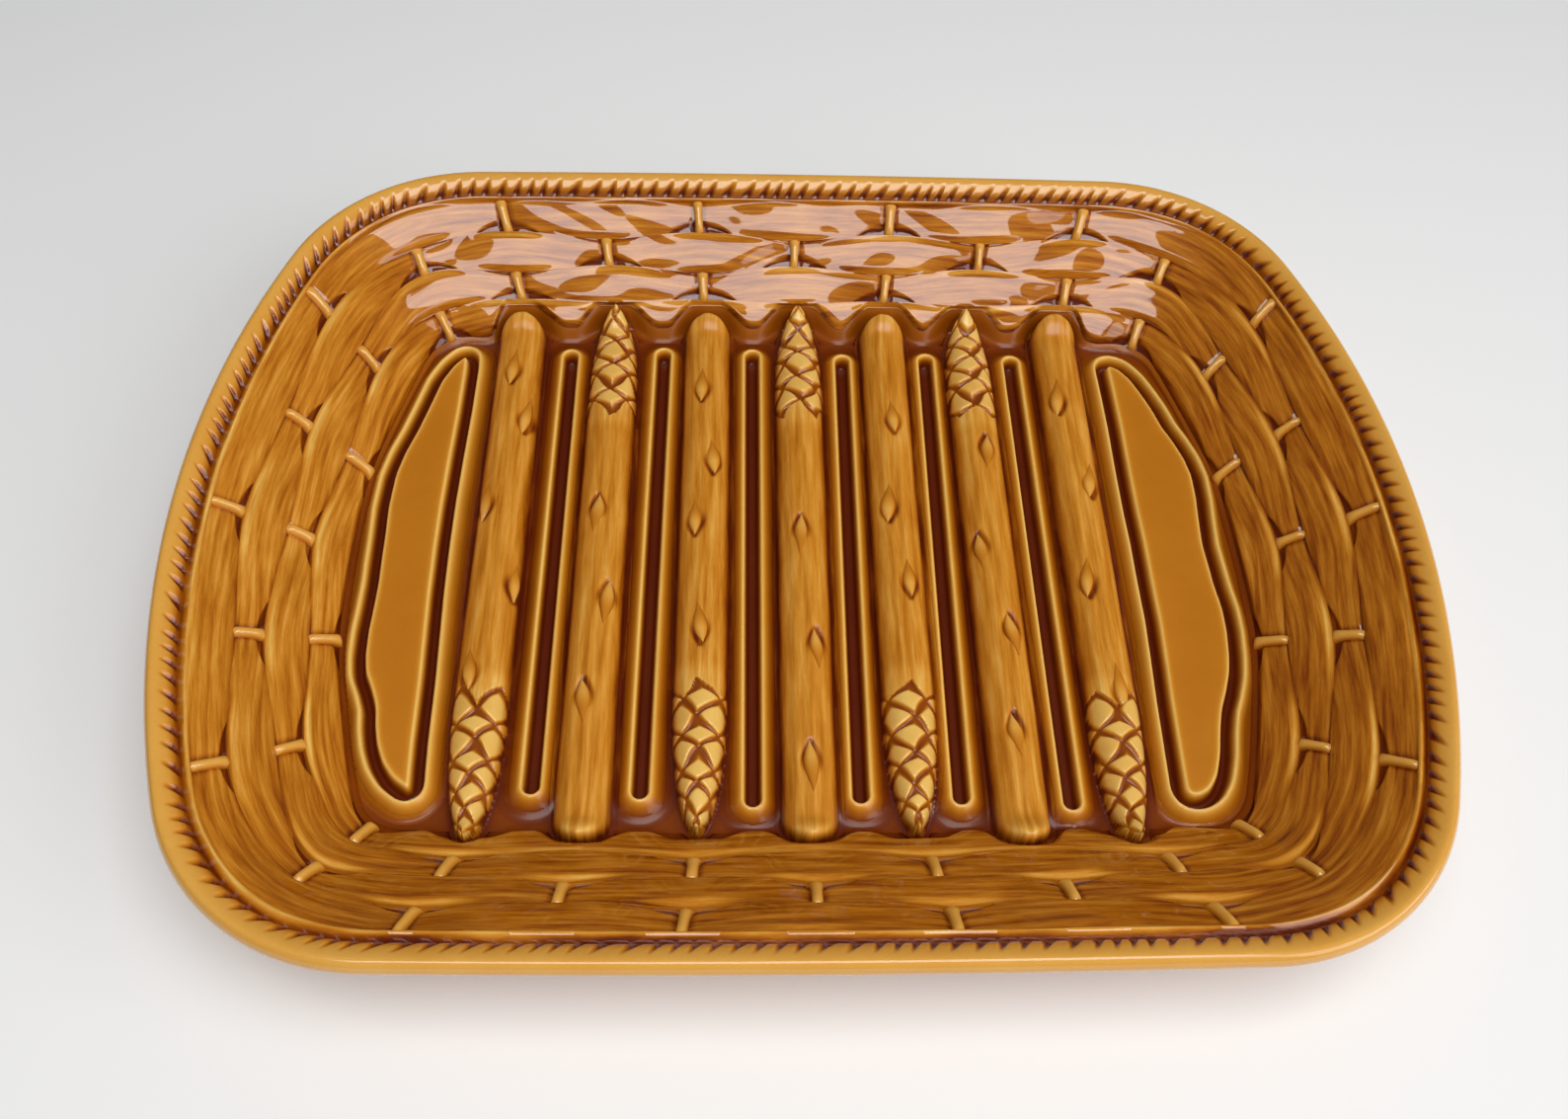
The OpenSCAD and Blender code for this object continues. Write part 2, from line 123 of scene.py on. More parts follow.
def quarterPoint(plan, share):
    # point at a share of a quarter's length
    sideC, corner, endC, t1, t2, lengths = arcs(plan)
    s = share * lengths.sum()
    onSide, onCorner = s < lengths[0], s < lengths[0] + lengths[1]
    angle = np.where(
        onSide, math.pi / 2 - s / plan[2],
        np.where(onCorner, t1 - (s - lengths[0]) / plan[4], t2 - (s - lengths[0] - lengths[1]) / plan[3]),
    )
    r = np.where(onSide, plan[2], np.where(onCorner, plan[4], plan[3]))
    cx = np.where(onSide, sideC[0], np.where(onCorner, corner[0], endC[0]))
    cy = np.where(onSide, sideC[1], np.where(onCorner, corner[1], endC[1]))
    return np.stack([cx + r * np.cos(angle), cy + r * np.sin(angle)], -1)


footLength = arcs(footPlan)[5].sum()
rimLength = arcs(rimPlan)[5].sum()
footShares = np.array([plate["pitch"] * j / footLength for j in range(4)] + [0.559, 0.703, 0.853, 1])


def planPoint(plan, shares, bay):
    # 28 bays go round the plan, 7 to a quarter, from the middle of the far side
    bay = np.mod(bay, 28)
    quarter = np.floor(bay / 7)
    part = bay - quarter * 7
    local = np.where(quarter % 2 == 0, part, 7 - part)
    p = quarterPoint(plan, np.interp(local, np.arange(8), shares))
    p[..., 0] *= np.where(quarter < 2, 1, -1)
    p[..., 1] *= np.where((quarter == 1) | (quarter == 2), -1, 1)
    return p


def baseHeight(w):
    # height of the bare wall at a share of its width
    w0 = weaveEnd + (plate["weaveLow"] - plate["floorTop"]) / wallFall
    s = plate["footBend"]
    t = (w0 - w) / s
    return plate["floorTop"] + s * wallFall * np.where(t > 30, t, np.log1p(np.exp(np.minimum(t, 30))))


def wallPoint(bay, w, rise):
    # points on the wall, raised square to its slope
    rim, foot = planPoint(rimPlan, rimShares, bay), planPoint(footPlan, footShares, bay)
    run = foot - rim
    width = np.hypot(run[..., 0], run[..., 1])
    steep = smooth(1.005, 0.95, w)
    slope = np.arctan2(wallFall, width) * steep
    p = rim + run * w[..., None]
    p = p + run / width[..., None] * (rise * np.sin(slope))[..., None]
    return np.concatenate([p, (baseHeight(w) + rise * np.cos(slope))[..., None]], -1)


# glaze
glaze = {
    "ramp": [
        (0.0, (0.92, 0.59, 0.15)),
        (0.14, (0.82, 0.41, 0.070)),
        (0.32, (0.70, 0.280, 0.024)),
        (0.5, (0.545, 0.182, 0.007)),
        (0.68, (0.37, 0.096, 0.0016)),
        (0.84, (0.21, 0.036, 0.0006)),
        (1.0, (0.10, 0.008, 0.0003)),
    ],
    "bodyRough": 0.45,
    "coatIndex": 1.6,
    "sheen": 0.1,
    "cloud": (55, 4, 0.55),  # scale, detail and roughness of a noise
    "speck": (900, 2, 0.7),
    "lines": (1.0, 4, 0.62),
    "rise": (0.35, 0.03, 0.6),  # what clouds, specks and both together add to the bump
    "bumpDistance": 0.0004,
}


def fill(tree, socket, value):
    # a socket is linked, a plain value is set
    if isinstance(value, bpy.types.NodeSocket):
        tree.links.new(value, socket)
    else:
        socket.default_value = value


def setNode(tree, kind, inputs=(), **options):
    # a new node with its options, and its inputs by name or number
    node = tree.nodes.new(kind)
    for key, value in options.items():
        setattr(node, key, value)
    for key, value in dict(inputs).items():
        fill(tree, node.inputs[key], value)
    return node.outputs


def mathNode(tree, kind, first, *rest):
    # one kind of sum, worked along a row of values
    if not rest:
        return setNode(tree, "ShaderNodeMath", {0: first}, operation=kind)[0]
    for value in rest:
        first = setNode(tree, "ShaderNodeMath", {0: first, 1: value}, operation=kind)[0]
    return first


def noiseNode(tree, vector, scale, detail, rough):
    # noise about zero
    inputs = {"Vector": vector, "Scale": scale, "Detail": detail, "Roughness": rough}
    return mathNode(tree, "SUBTRACT", setNode(tree, "ShaderNodeTexNoise", inputs)["Fac"], 0.5)


def newTree(kind, name, ins, outs):
    # a node group with named inputs and outputs
    tree = bpy.data.node_groups.new(name, kind)
    for way, sockets in (("INPUT", ins), ("OUTPUT", outs)):
        for label, socket, *value in sockets:
            made = tree.interface.new_socket(name=label, in_out=way, socket_type="NodeSocket" + socket)
            if value:
                made.default_value = value[0]
    return tree, tree.nodes.new("NodeGroupInput").outputs, tree.nodes.new("NodeGroupOutput").inputs


def pooledGlazeGroup():
    # colour of the glaze from how deep it lies, with clouds and fine specks
    tree, ins, outs = newTree(
        "ShaderNodeTree", "pooled glaze",
        [("Depth", "Float", 0.5), ("Clouds", "Float", 0.08), ("Specks", "Float", 0.05),
         ("Streak", "Float", 0.0)],
        [("Color", "Color"), ("Height", "Float")])
    where = setNode(tree, "ShaderNodeTexCoord")["Object"]
    cloud, speck = (noiseNode(tree, where, *glaze[kind]) for kind in ("cloud", "speck"))
    depth = mathNode(tree, "ADD", ins["Depth"], mathNode(tree, "MULTIPLY", cloud, ins["Clouds"]),
                     mathNode(tree, "MULTIPLY", speck, ins["Specks"]), ins["Streak"])
    ramp = tree.nodes.new("ShaderNodeValToRGB")
    ramp.color_ramp.interpolation = "B_SPLINE"
    for i, (at, colour) in enumerate(glaze["ramp"]):
        stop = ramp.color_ramp.elements[i] if i < 2 else ramp.color_ramp.elements.new(at)
        stop.position = at
        stop.color = (*colour, 1)
    fill(tree, ramp.inputs["Fac"], depth)
    fill(tree, outs["Color"], ramp.outputs["Color"])
    rises = [mathNode(tree, "MULTIPLY", noise, share) for noise, share in zip((cloud, speck), glaze["rise"])]
    fill(tree, outs["Height"], mathNode(tree, "ADD", *rises))
    return tree


def streakGroup():
    # fine lines pressed along a strand or a stem, from the piece's own UV map in millimetres
    tree, ins, outs = newTree(
        "ShaderNodeTree", "pressed streaks",
        [("Pitch", "Float", 0.9), ("Length", "Float", 16.0), ("Strength", "Float", 0.15)],
        [("Streak", "Float"), ("Height", "Float")])
    parts = setNode(tree, "ShaderNodeSeparateXYZ", {0: setNode(tree, "ShaderNodeUVMap", uv_map="grain")[0]})
    vector = setNode(tree, "ShaderNodeCombineXYZ", {
        0: mathNode(tree, "DIVIDE", parts[0], ins["Length"]),
        1: mathNode(tree, "DIVIDE", parts[1], ins["Pitch"])})
    lines = noiseNode(tree, vector[0], *glaze["lines"])
    fill(tree, outs["Streak"], mathNode(tree, "MULTIPLY", lines, ins["Strength"]))
    fill(tree, outs["Height"], mathNode(tree, "MULTIPLY", lines, -1))
    return tree


pooledGlaze = pooledGlazeGroup()
pressedStreaks = streakGroup()


def startMaterial(name):
    material = bpy.data.materials.new(name)
    material.use_nodes = True
    return material, material.node_tree


def fillShader(tree, values):
    for key, value in values.items():
        fill(tree, tree.nodes["Principled BSDF"].inputs[key], value)


def glazeMaterial(name, clouds=0.1, specks=0.05, streaks=None, bump=0.25, gloss=0.04, coat=1.0):
    # streaks is (pitch, length, strength) for pieces that carry the grain map
    material, tree = startMaterial(name)
    depth = setNode(tree, "ShaderNodeAttribute", attribute_name="depth")["Fac"]
    inputs = {"Depth": depth, "Clouds": clouds, "Specks": specks}
    if streaks:
        lines = setNode(tree, "ShaderNodeGroup", zip(("Pitch", "Length", "Strength"), streaks),
                        node_tree=pressedStreaks)
        inputs["Streak"] = lines["Streak"]
    pool = setNode(tree, "ShaderNodeGroup", inputs, node_tree=pooledGlaze)
    height = mathNode(tree, "MULTIPLY", pool["Height"], glaze["rise"][2])
    if streaks:
        height = mathNode(tree, "ADD", height, lines["Height"])
    inputs = {"Strength": bump, "Distance": glaze["bumpDistance"], "Height": height}
    fillShader(tree, {
        "Base Color": pool["Color"], "Normal": setNode(tree, "ShaderNodeBump", inputs)["Normal"],
        "Roughness": glaze["bodyRough"], "Specular IOR Level": glaze["sheen"], "Coat Weight": coat,
        "Coat Roughness": gloss, "Coat IOR": glaze["coatIndex"]})
    return material


materials = {
    "rim": glazeMaterial("honey rim glaze", clouds=0.14, specks=0.06, gloss=0.12),
    "weave": glazeMaterial("streaked weave glaze", clouds=0.14, streaks=(2.1, 26.0, 1.25), bump=0.15),
    "stake": glazeMaterial("thin stake glaze", clouds=0.14, bump=0.2),
    "stem": glazeMaterial("streaked stem glaze", clouds=0.14, streaks=(2.2, 30.0, 1.1), bump=0.3, gloss=0.28,
                          coat=0.55),
    "bract": glazeMaterial("thin bract glaze", clouds=0.10, bump=0.2, gloss=0.1),
    "tip": glazeMaterial("thin scale glaze", clouds=0.24, bump=0.25, gloss=0.2, coat=0.8),
    "bar": glazeMaterial("pooled slot glaze", clouds=0.12, bump=0.2, gloss=0.2, coat=0.55),
    "body": glazeMaterial("smooth amber glaze", clouds=0.10, specks=0.03, bump=0.15, gloss=0.26, coat=0.42),
    "under": glazeMaterial("thin underside glaze", clouds=0.2, specks=0.1, bump=0.3),
}
print("glazes made:", len(materials))


# mesh helpers
sharpFrom = 62  # degrees between faces from which an edge looks sharp


def finishPiece(mesh, name, material, nodes):
    piece = addObject(mesh, name)
    mesh.materials.clear()
    mesh.materials.append(materials[material])
    mesh.shade_smooth()
    mesh.set_sharp_from_angle(angle=math.radians(sharpFrom))
    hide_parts(*nodes)
    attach(piece, "root")
    mesh.calc_loop_triangles()
    print(name, len(mesh.loop_triangles), "triangles")


def store(mesh, name, values, kind="FLOAT"):
    # a number or a vector on each point
    data = mesh.attributes.new(name, kind, "POINT").data
    data.foreach_set("value" if kind == "FLOAT" else "vector", np.ravel(values).astype(np.float32))


def closeMesh(mesh):
    # fills an open underside, turns the faces outwards and says what is left open
    bm = bmesh.new()
    bm.from_mesh(mesh)
    openEdges = [e for e in bm.edges if e.is_boundary]
    if openEdges:
        bmesh.ops.triangle_fill(bm, use_beauty=False, use_dissolve=False, edges=openEdges, normal=(0, 0, -1))
    left = sum(1 for e in bm.edges if not e.is_manifold)
    if left:
        print(mesh.name, "has", left, "edges that aren't closed")
    bmesh.ops.recalc_face_normals(bm, faces=bm.faces)
    bm.to_mesh(mesh)
    bm.free()


def quadMesh(name, points, quads, depth, grain=None):
    mesh = bpy.data.meshes.new(name)
    mesh.vertices.add(points.size // 3)
    mesh.vertices.foreach_set("co", (points * 0.001).astype(np.float32).ravel())
    mesh.loops.add(quads.size)
    mesh.loops.foreach_set("vertex_index", quads.astype(np.int32).ravel())
    mesh.polygons.add(len(quads))
    mesh.polygons.foreach_set("loop_start", np.arange(len(quads), dtype=np.int32) * 4)
    mesh.update(calc_edges=True)
    store(mesh, "depth", depth)
    if grain is not None:
        corners = grain.reshape(-1, 2)[quads.ravel()].astype(np.float32)
        mesh.uv_layers.new(name="grain").data.foreach_set("uv", corners.ravel())
    return mesh


def ringQuads(section):
    # quads of a closed ring: section[i, j] at station i, both ways wrapped, facing outwards
    n, m = section.shape[:2]
    i, j = np.meshgrid(np.arange(n), np.arange(m), indexing="ij")
    right, down = (j + 1) % m, (i + 1) % n
    quads = np.stack([i * m + j, i * m + right, down * m + right, down * m + j], -1).reshape(-1, 4)
    a, b, c, d = (section.reshape(-1, 3)[quads[:, k]] for k in range(4))
    volume = (a * np.cross(b, c) + a * np.cross(c, d)).sum()
    return quads[:, ::-1] if volume < 0 else quads


def ringPiece(name, section, depth, grain, material, nodes):
    finishPiece(quadMesh(name, section, ringQuads(section), depth, grain), name, material, nodes)


# spears and slots
spears = {
    "farX": [-92.4, -60.8, -29.5, 1.1, 30.2, 58.9, 89.6],
    "nearX": [-92.0, -61.7, -30.6, -0.1, 28.9, 57.7, 87.3],
    "farEnd": [96.3, 98.2, 96.8, 98.8, 97.0, 98.4, 97.4],
    "nearEnd": [94.4, 94.8, 92.0, 95.2, 92.3, 96.4, 96.0],
    "half": 97.0,
    "halfWidth": 7.9,
    "height": 8.0,
    "tip": 46.0,
    "tipLead": 5.0,  # from the tip's start to where its piece begins at the latest
    "band": 14.0,  # half width of the strip that one spear can touch
    "margin": 1.4,  # of floor that goes with the spear's piece
}
scale = {
    "pitch": 12.4,
    "shrink": 210,  # the scales grow smaller towards the end
    "cross": 1.05,
    "wander": 0.10,
    "turned": (0, 3, 5, 6),  # spears whose scales lie half a scale further on
    "height": (1.45, 1.1),
}
slots = {
    "farX": [-75.5, -44.4, -14.5, 16.0, 44.5, 73.6],
    "nearX": [-75.8, -46.3, -15.5, 14.0, 41.6, 72.0],
    "farEnd": [83.0, 84.1, 83.8, 81.9, 82.6, 82.1],
    "nearEnd": [79.9, 81.4, 83.9, 82.9, 83.3, 85.0],
    "half": 83.0,
    "endRadius": 2.1,
    "reach": 10.4,  # from the slot's middle line to where the bar has run out
    "edge": 6.8,
}
groove = {"x": 117, "span": 20.5, "reach": 9.5, "edge": 7.6, "plateau": 2.1}
bractPlaces = [
    [(-93.5, 72.6), (-87.6, 52), (-97, 17.8), (-85.8, -11.7), (-95.6, -42.9)],
    [(-62.8, 11.9), (-58.1, -20.4), (-63, -53.8)],
    [(-31.2, 65.5), (-27.3, 35.3), (-32.6, 11.4), (-30.5, -27.5)],
    [(-0.3, 4.4), (3.2, -36.5), (0.5, -74.1)],
    [(31, 52.5), (27.4, 16.8), (31.9, -11.2)],
    [(60.5, 37.4), (54.6, -1.6), (60.9, -31.4), (58.1, -64.8)],
    [(86.4, 61.3), (92.2, 26.7), (85.8, -10.9), (89.9, -48.9)],
]
bract = {"length": 15.0, "width": 4.5, "height": 1.0, "groove": 0.8, "lean": 9.0}
plateauEdge = {
    "Left": [
        (-110.3, 80.8), (-113.9, 76.5), (-117.1, 69.5), (-120.1, 56.7), (-122.4, 47.4), (-125.1, 38.4),
        (-126.8, 29.6), (-127.3, 17.4), (-126.8, 5.6), (-126.6, -3.6), (-126.3, -10.3), (-126.4, -19.1),
        (-126.7, -27.7), (-126.4, -36.1), (-125.4, -42.2), (-123.1, -47.3), (-121.0, -53.2), (-120.3, -59.1),
        (-119.0, -64.9), (-116.8, -70.5), (-113.6, -75.2), (-108.6, -78.9), (-108.9, -73.4), (-109.3, -63.9),
        (-109.6, -45.3), (-110.2, -29.8), (-110.8, -14.7), (-111.1, 3.4), (-111.1, 18.8), (-110.7, 37.3),
        (-110.1, 56.8), (-109.9, 75.9),
    ],
    "Right": [
        (106.5, 79.2), (110.0, 77.8), (113.5, 72.9), (116.1, 66.7), (118.6, 59.8), (120.8, 51.7),
        (123.3, 45.8),
        (125.6, 38.6), (126.8, 31.6), (126.6, 22.8), (125.7, 12.9), (125.1, 4.6), (125.4, -3.7),
        (125.7, -11.7),
        (126.5, -19.5), (126.3, -27.2), (125.3, -35.9), (124.0, -42.2), (121.8, -48.4), (119.6, -53.5),
        (117.7, -60.5), (116.1, -68.3), (113.9, -75.0), (111.3, -79.2), (108.4, -81.1), (105.7, -81.6),
        (104.1, -80.2), (104.4, -72.1), (104.7, -63.4), (105.1, -51.4), (105.8, -38.0), (106.4, -24.0),
        (106.4, -10.6), (106.6, 4.4), (106.4, 17.7), (106.5, 34.0), (106.8, 50.9), (106.7, 67.2),
    ],
}


def lineX(part, k, y):
    return np.interp(y, [-part["half"], part["half"]], [part["nearX"][k], part["farX"][k]])


def wallShare(x, y):
    # share of the wall's width at a point beside the long sides
    edge = rimPlan[1] - rimPlan[2] + np.sqrt(rimPlan[2] * rimPlan[2] - x * x)
    return (edge - np.abs(y)) / plate["wallSide"]


def groundAt(x, y):
    # bare floor, or the wall of the long sides
    w = wallShare(x, y)
    return np.where(w > 1.1, plate["floorTop"], baseHeight(w))


def lastEdge(x, y):
    # share of the wall's width where the weave ends, drawn back round the spears' ends
    away = np.min([np.abs(x - lineX(spears, k, y)) for k in range(7)], 0)
    far = plate["farEdge"][0] - plate["farEdge"][1] * smooth(14.5, 4.5, away)
    near = plate["nearEdge"][0] - plate["nearEdge"][1] * smooth(13.5, 6.0, away)
    side = smooth(96, 108, np.abs(x))
    return np.where(y > 0, far, near) * (1 - side) + plate["endEdge"] * side


def troughAt(x, y):
    # the dish's own surface, with the trough that runs between the weave and the spears' ends
    w = wallShare(x, y)
    edge = lastEdge(x, y)
    fall = 0.88 * smooth(edge - 0.005, edge + 0.085, w)
    z = plate["floorTop"] + (baseHeight(w) - plate["floorTop"]) * (1 - fall)
    return np.where(w > 1.1, plate["floorTop"], z)


def facing(k):
    return 1 if k % 2 == 0 else -1  # spear 0 is the leftmost and points near


def spearLocal(k, x, y):
    # distance from the butt, sideways distance, total length
    f = facing(k)
    butt, end = (spears["farEnd"][k], spears["nearEnd"][k])[::f]
    return butt - f * y, (x - lineX(spears, k, y)) * f, butt + end


def buttShare(s, halfWidth):
    e = np.clip(s / halfWidth, 0, 1)
    return np.sqrt(np.clip(1 - (1 - e) ** 2.2, 0, 1))


def spearShares(k, s, total):
    # shares of the full half width at the butt and along the tip
    t = np.clip((s - (total - spears["tip"])) / spears["tip"], 0, 1)
    tip = (1 - t ** 2.5) ** 0.58 if facing(k) > 0 else (1 - t ** 4.6) ** 0.6
    return buttShare(s, spears["halfWidth"]), tip


def scales(k, a, g):
    # overlapping scales: where they lie, and how high each point of a scale stands
    turn = 0.5 if k in scale["turned"] else 0.0
    along = (a + np.clip(a, 0, 60) ** 2 / scale["shrink"]) / scale["pitch"]
    p1 = along + scale["cross"] * g + turn + scale["wander"] * np.sin(a * 0.55 + k)
    p2 = along - scale["cross"] * g - turn + scale["wander"] * np.sin(a * 0.43 + 2 * k + 1)
    f1, f2 = np.mod(p1, 1), np.mod(p2, 1)
    root, free = np.minimum(f1, f2), np.minimum(1 - f1, 1 - f2)
    reach = 0.15 + 0.37 * smooth(1.15, 0.15, f1 + f2)  # widest in the corner that faces the stem
    rise = smooth(0.25, 1.0, root / reach) * smooth(0.0, 0.09, free) * (1 - 0.15 * (f1 - f2) ** 2)
    return (np.floor(p1) + np.floor(p2)) >= 0, rise


def spearTop(k, x, y):
    # height of a spear's surface and how deep its glaze lies, with the line of the scales
    s, side, total = spearLocal(k, x, y)
    butt, tip = spearShares(k, s, total)
    share = np.minimum(butt, tip)
    hw = np.maximum(spears["halfWidth"] * share, 0.01)
    inside = (s > 0) & (s < total)
    q = np.where(inside, side / hw, 9)
    f = facing(k)
    blunt, reach = (0.30, 6.5) if f > 0 else (0.7, 4.5)
    e = np.clip(s / reach, 0, 1)
    buttRise = blunt + (1 - blunt) * np.sqrt(1 - (1 - e) ** 2)
    h = spears["height"] * np.where(s < total / 2, buttRise, 0.6 + 0.4 * tip)
    dome = np.sqrt(np.clip(1 - np.abs(q) ** 2.5, 0, 1))
    out = np.clip((np.abs(q) - 1) * hw, 0, 9) * 2.4
    tone = 0.40 + 0.42 * smooth(0.70, 1.05, np.abs(q)) - 0.06 * smooth(4.5, 1.5, s)
    # low flutes along the stem
    flute = 0.10 * np.sin(3.1 * side / 2 + k + 0.8 * np.sin(s / 19.0 + k)) + 0.08 * np.sin(s / 11.0 + 2 * k)
    a = s - (total - spears["tip"])
    g = np.arcsin(np.clip(q, -1, 1)) / (math.pi / 2)
    here, rise = scales(k, a, g)
    onTip = here & inside
    fade = smooth(1.02, 0.8, np.abs(q))
    relief = np.where(onTip, (scale["height"][0] * rise - scale["height"][1]) * fade, flute)
    tone = np.where(onTip, 0.12 + 0.66 * (1 - rise) ** 0.9 + 0.30 * smooth(0.8, 1.05, np.abs(q)), tone)
    tone = tone + np.where(onTip, 0, -0.14 * smooth(-7, -1, a) * fade)
    # grooves round the points of the bracts, with painted shadow in them
    for bx, by in bractPlaces[k]:
        across, along = (x - bx) * f, (by - y) * f
        c = np.clip(along / bract["length"] + 0.5, 0, 1)
        gap = leafHalf(c) * bract["width"] - np.abs(across)
        past = np.where(along > bract["length"] / 2, along - bract["length"] / 2, 0)
        ring = np.exp(-((np.minimum(gap + 0.1, 0) ** 2 + past ** 2) / 0.8 ** 2)) * smooth(0.3, 0.75, c)
        relief = relief - np.where(onTip, 0, bract["groove"] * ring)
        # painted shadow along the groove
        tone = tone + np.where(onTip, 0, 0.42 * ring)
    spread = smooth(0, 2, out)
    ground = groundAt(x, y) * (1 - spread) + troughAt(x, y) * spread
    z = ground + h * dome + relief * dome - out
    return np.where(inside, z, ground - 30), tone, q, onTip


def spearMargin(k, x, y, margin):
    # inside the spear's outline grown by a margin
    s, side, total = spearLocal(k, x, y)
    long, whole = s + margin, total + 2 * margin
    tip = spearShares(k, np.minimum(long, whole) * total / whole, total)[1]
    least = np.minimum(buttShare(long, spears["halfWidth"] + margin), tip)
    half = spears["halfWidth"] * least + margin * np.minimum(1, 3 * least)
    return (np.abs(side) < half) & (long > 0) & (long < whole)


def leafHalf(c):
    # half width of a bract as a share of its width, from the tail to the point
    return 0.5 * np.sin(math.pi * np.clip(c, 0, 1) ** 1.2) ** 0.9


def profile(points, sigma):
    # a rounded curve through a few corner points
    at = np.array([p[0] for p in points], float)
    fine = np.arange(at[0] - 3, at[-1] + 3, 0.05)
    v = np.interp(fine, at, [p[1] for p in points])
    k = np.arange(-3 * sigma, 3 * sigma + 0.01, 0.05)
    kernel = np.exp(-(k ** 2) / (2 * sigma ** 2))
    v = np.convolve(np.pad(v, len(k) // 2, mode="edge"), kernel / kernel.sum(), mode="valid")
    return fine, v[: len(fine)]


barProfile = profile([
    (-2, 6.8), (1.5, 6.9), (2.15, 10.9), (2.5, 11.9), (3.1, 11.95), (4.2, 11.1), (5.4, 9.85), (6.8, 8.8),
    (8.4, 8.15), (10, 8.0), (12, 8.0)], 0.3)
barTone = profile([
    (-2, 0.84), (1.5, 0.84), (2.1, 0.60), (2.45, 0.20), (2.75, 0.08), (3.2, 0.28), (4.0, 0.52), (5.2, 0.68),
    (6.4, 0.80), (7.4, 0.86), (12, 0.84)], 0.18)
grooveProfile = profile([
    (-9, 12.0), (-1.0, 12.0), (-0.3, 12.15), (0.15, 11.6), (0.8, 8.0), (1.6, 7.1), (2.6, 7.1), (3.4, 8.2),
    (3.9, 11.4), (4.3, 12.1), (4.8, 12.1), (5.8, 11.2), (7.2, 9.2), (8.6, 8.1), (14, 8.0)], 0.22)
grooveTone = profile([
    (-9, 0.50), (-2, 0.50), (-1.0, 0.42), (-0.35, 0.08), (0.1, 0.22), (0.7, 0.74), (1.2, 0.81), (2.9, 0.81),
    (3.5, 0.68), (3.95, 0.22), (4.35, 0.05), (4.9, 0.22), (5.8, 0.38), (7.2, 0.54), (8.6, 0.72),
    (14, 0.80)], 0.15)


def slotDistance(k, x, y):
    # from the slot's middle line
    far, near = slots["farEnd"][k] - slots["endRadius"], -slots["nearEnd"][k] + slots["endRadius"]
    return np.hypot(x - lineX(slots, k, y), np.maximum(np.maximum(y - far, near - y), 0))


def plateauOutline(label):
    # the hand-cut edge, with its corners softened
    points = np.array(plateauEdge[label])
    closed = np.vstack([points, points[:1]])
    at = np.concatenate([[0], np.cumsum(np.hypot(*np.diff(closed, axis=0).T))])
    n = int(at[-1])
    even = np.linspace(0, at[-1], n, endpoint=False)
    line = np.stack([np.interp(even, at, closed[:, i]) for i in (0, 1)], -1)
    for _ in range(3):
        line = 0.25 * np.roll(line, 1, 0) + 0.5 * line + 0.25 * np.roll(line, -1, 0)
    return line


def signedDistance(outline, x, y):
    # from a closed outline, and less than 0 inside it
    p = np.stack([x.ravel(), y.ravel()], -1)
    best = np.full(len(p), 1e9)
    cross = np.zeros(len(p), int)
    for (ax, ay), (bx, by) in zip(outline, np.roll(outline, -1, 0)):
        ex, ey = bx - ax, by - ay
        t = np.clip(((p[:, 0] - ax) * ex + (p[:, 1] - ay) * ey) / max(ex * ex + ey * ey, 1e-12), 0, 1)
        d = (p[:, 0] - ax - t * ex) ** 2 + (p[:, 1] - ay - t * ey) ** 2
        best = np.minimum(best, d)
        hit = (ay > p[:, 1]) != (by > p[:, 1])
        with np.errstate(divide="ignore", invalid="ignore"):
            cx = ax + (p[:, 1] - ay) * ex / (ey if ey else 1e-12)
        cross += hit & (p[:, 0] < cx)
    d = np.sqrt(best)
    return np.where(cross % 2 == 1, -d, d).reshape(x.shape)


# the floor's relief, on one raster
raster = {
    "step": 0.38,
    "x": 136.8,
    "y": 101.84,
    "hollows": ((1.0, 0.10, 0.9), (3.2, 0.035, 3)),  # where glaze pools: radius, strength and most
    "meet": 0.6,  # softens the foot of a spear
    "bottom": 4.4,
    "bed": (3.8, 36.8, 0.94),  # height, slope and start of the line that keeps a bottom inside the wall
}


def blur(field, sigma):
    pad = int(4 * sigma)
    f = np.pad(field, pad, mode="edge")
    fy, fx = np.fft.fftfreq(f.shape[0]), np.fft.rfftfreq(f.shape[1])
    g = np.exp(-2 * (math.pi * sigma) ** 2 * (fy[:, None] ** 2 + fx[None, :] ** 2))
    out = np.fft.irfft2(np.fft.rfft2(f) * g, s=f.shape)
    return out[pad:pad + field.shape[0], pad:pad + field.shape[1]]


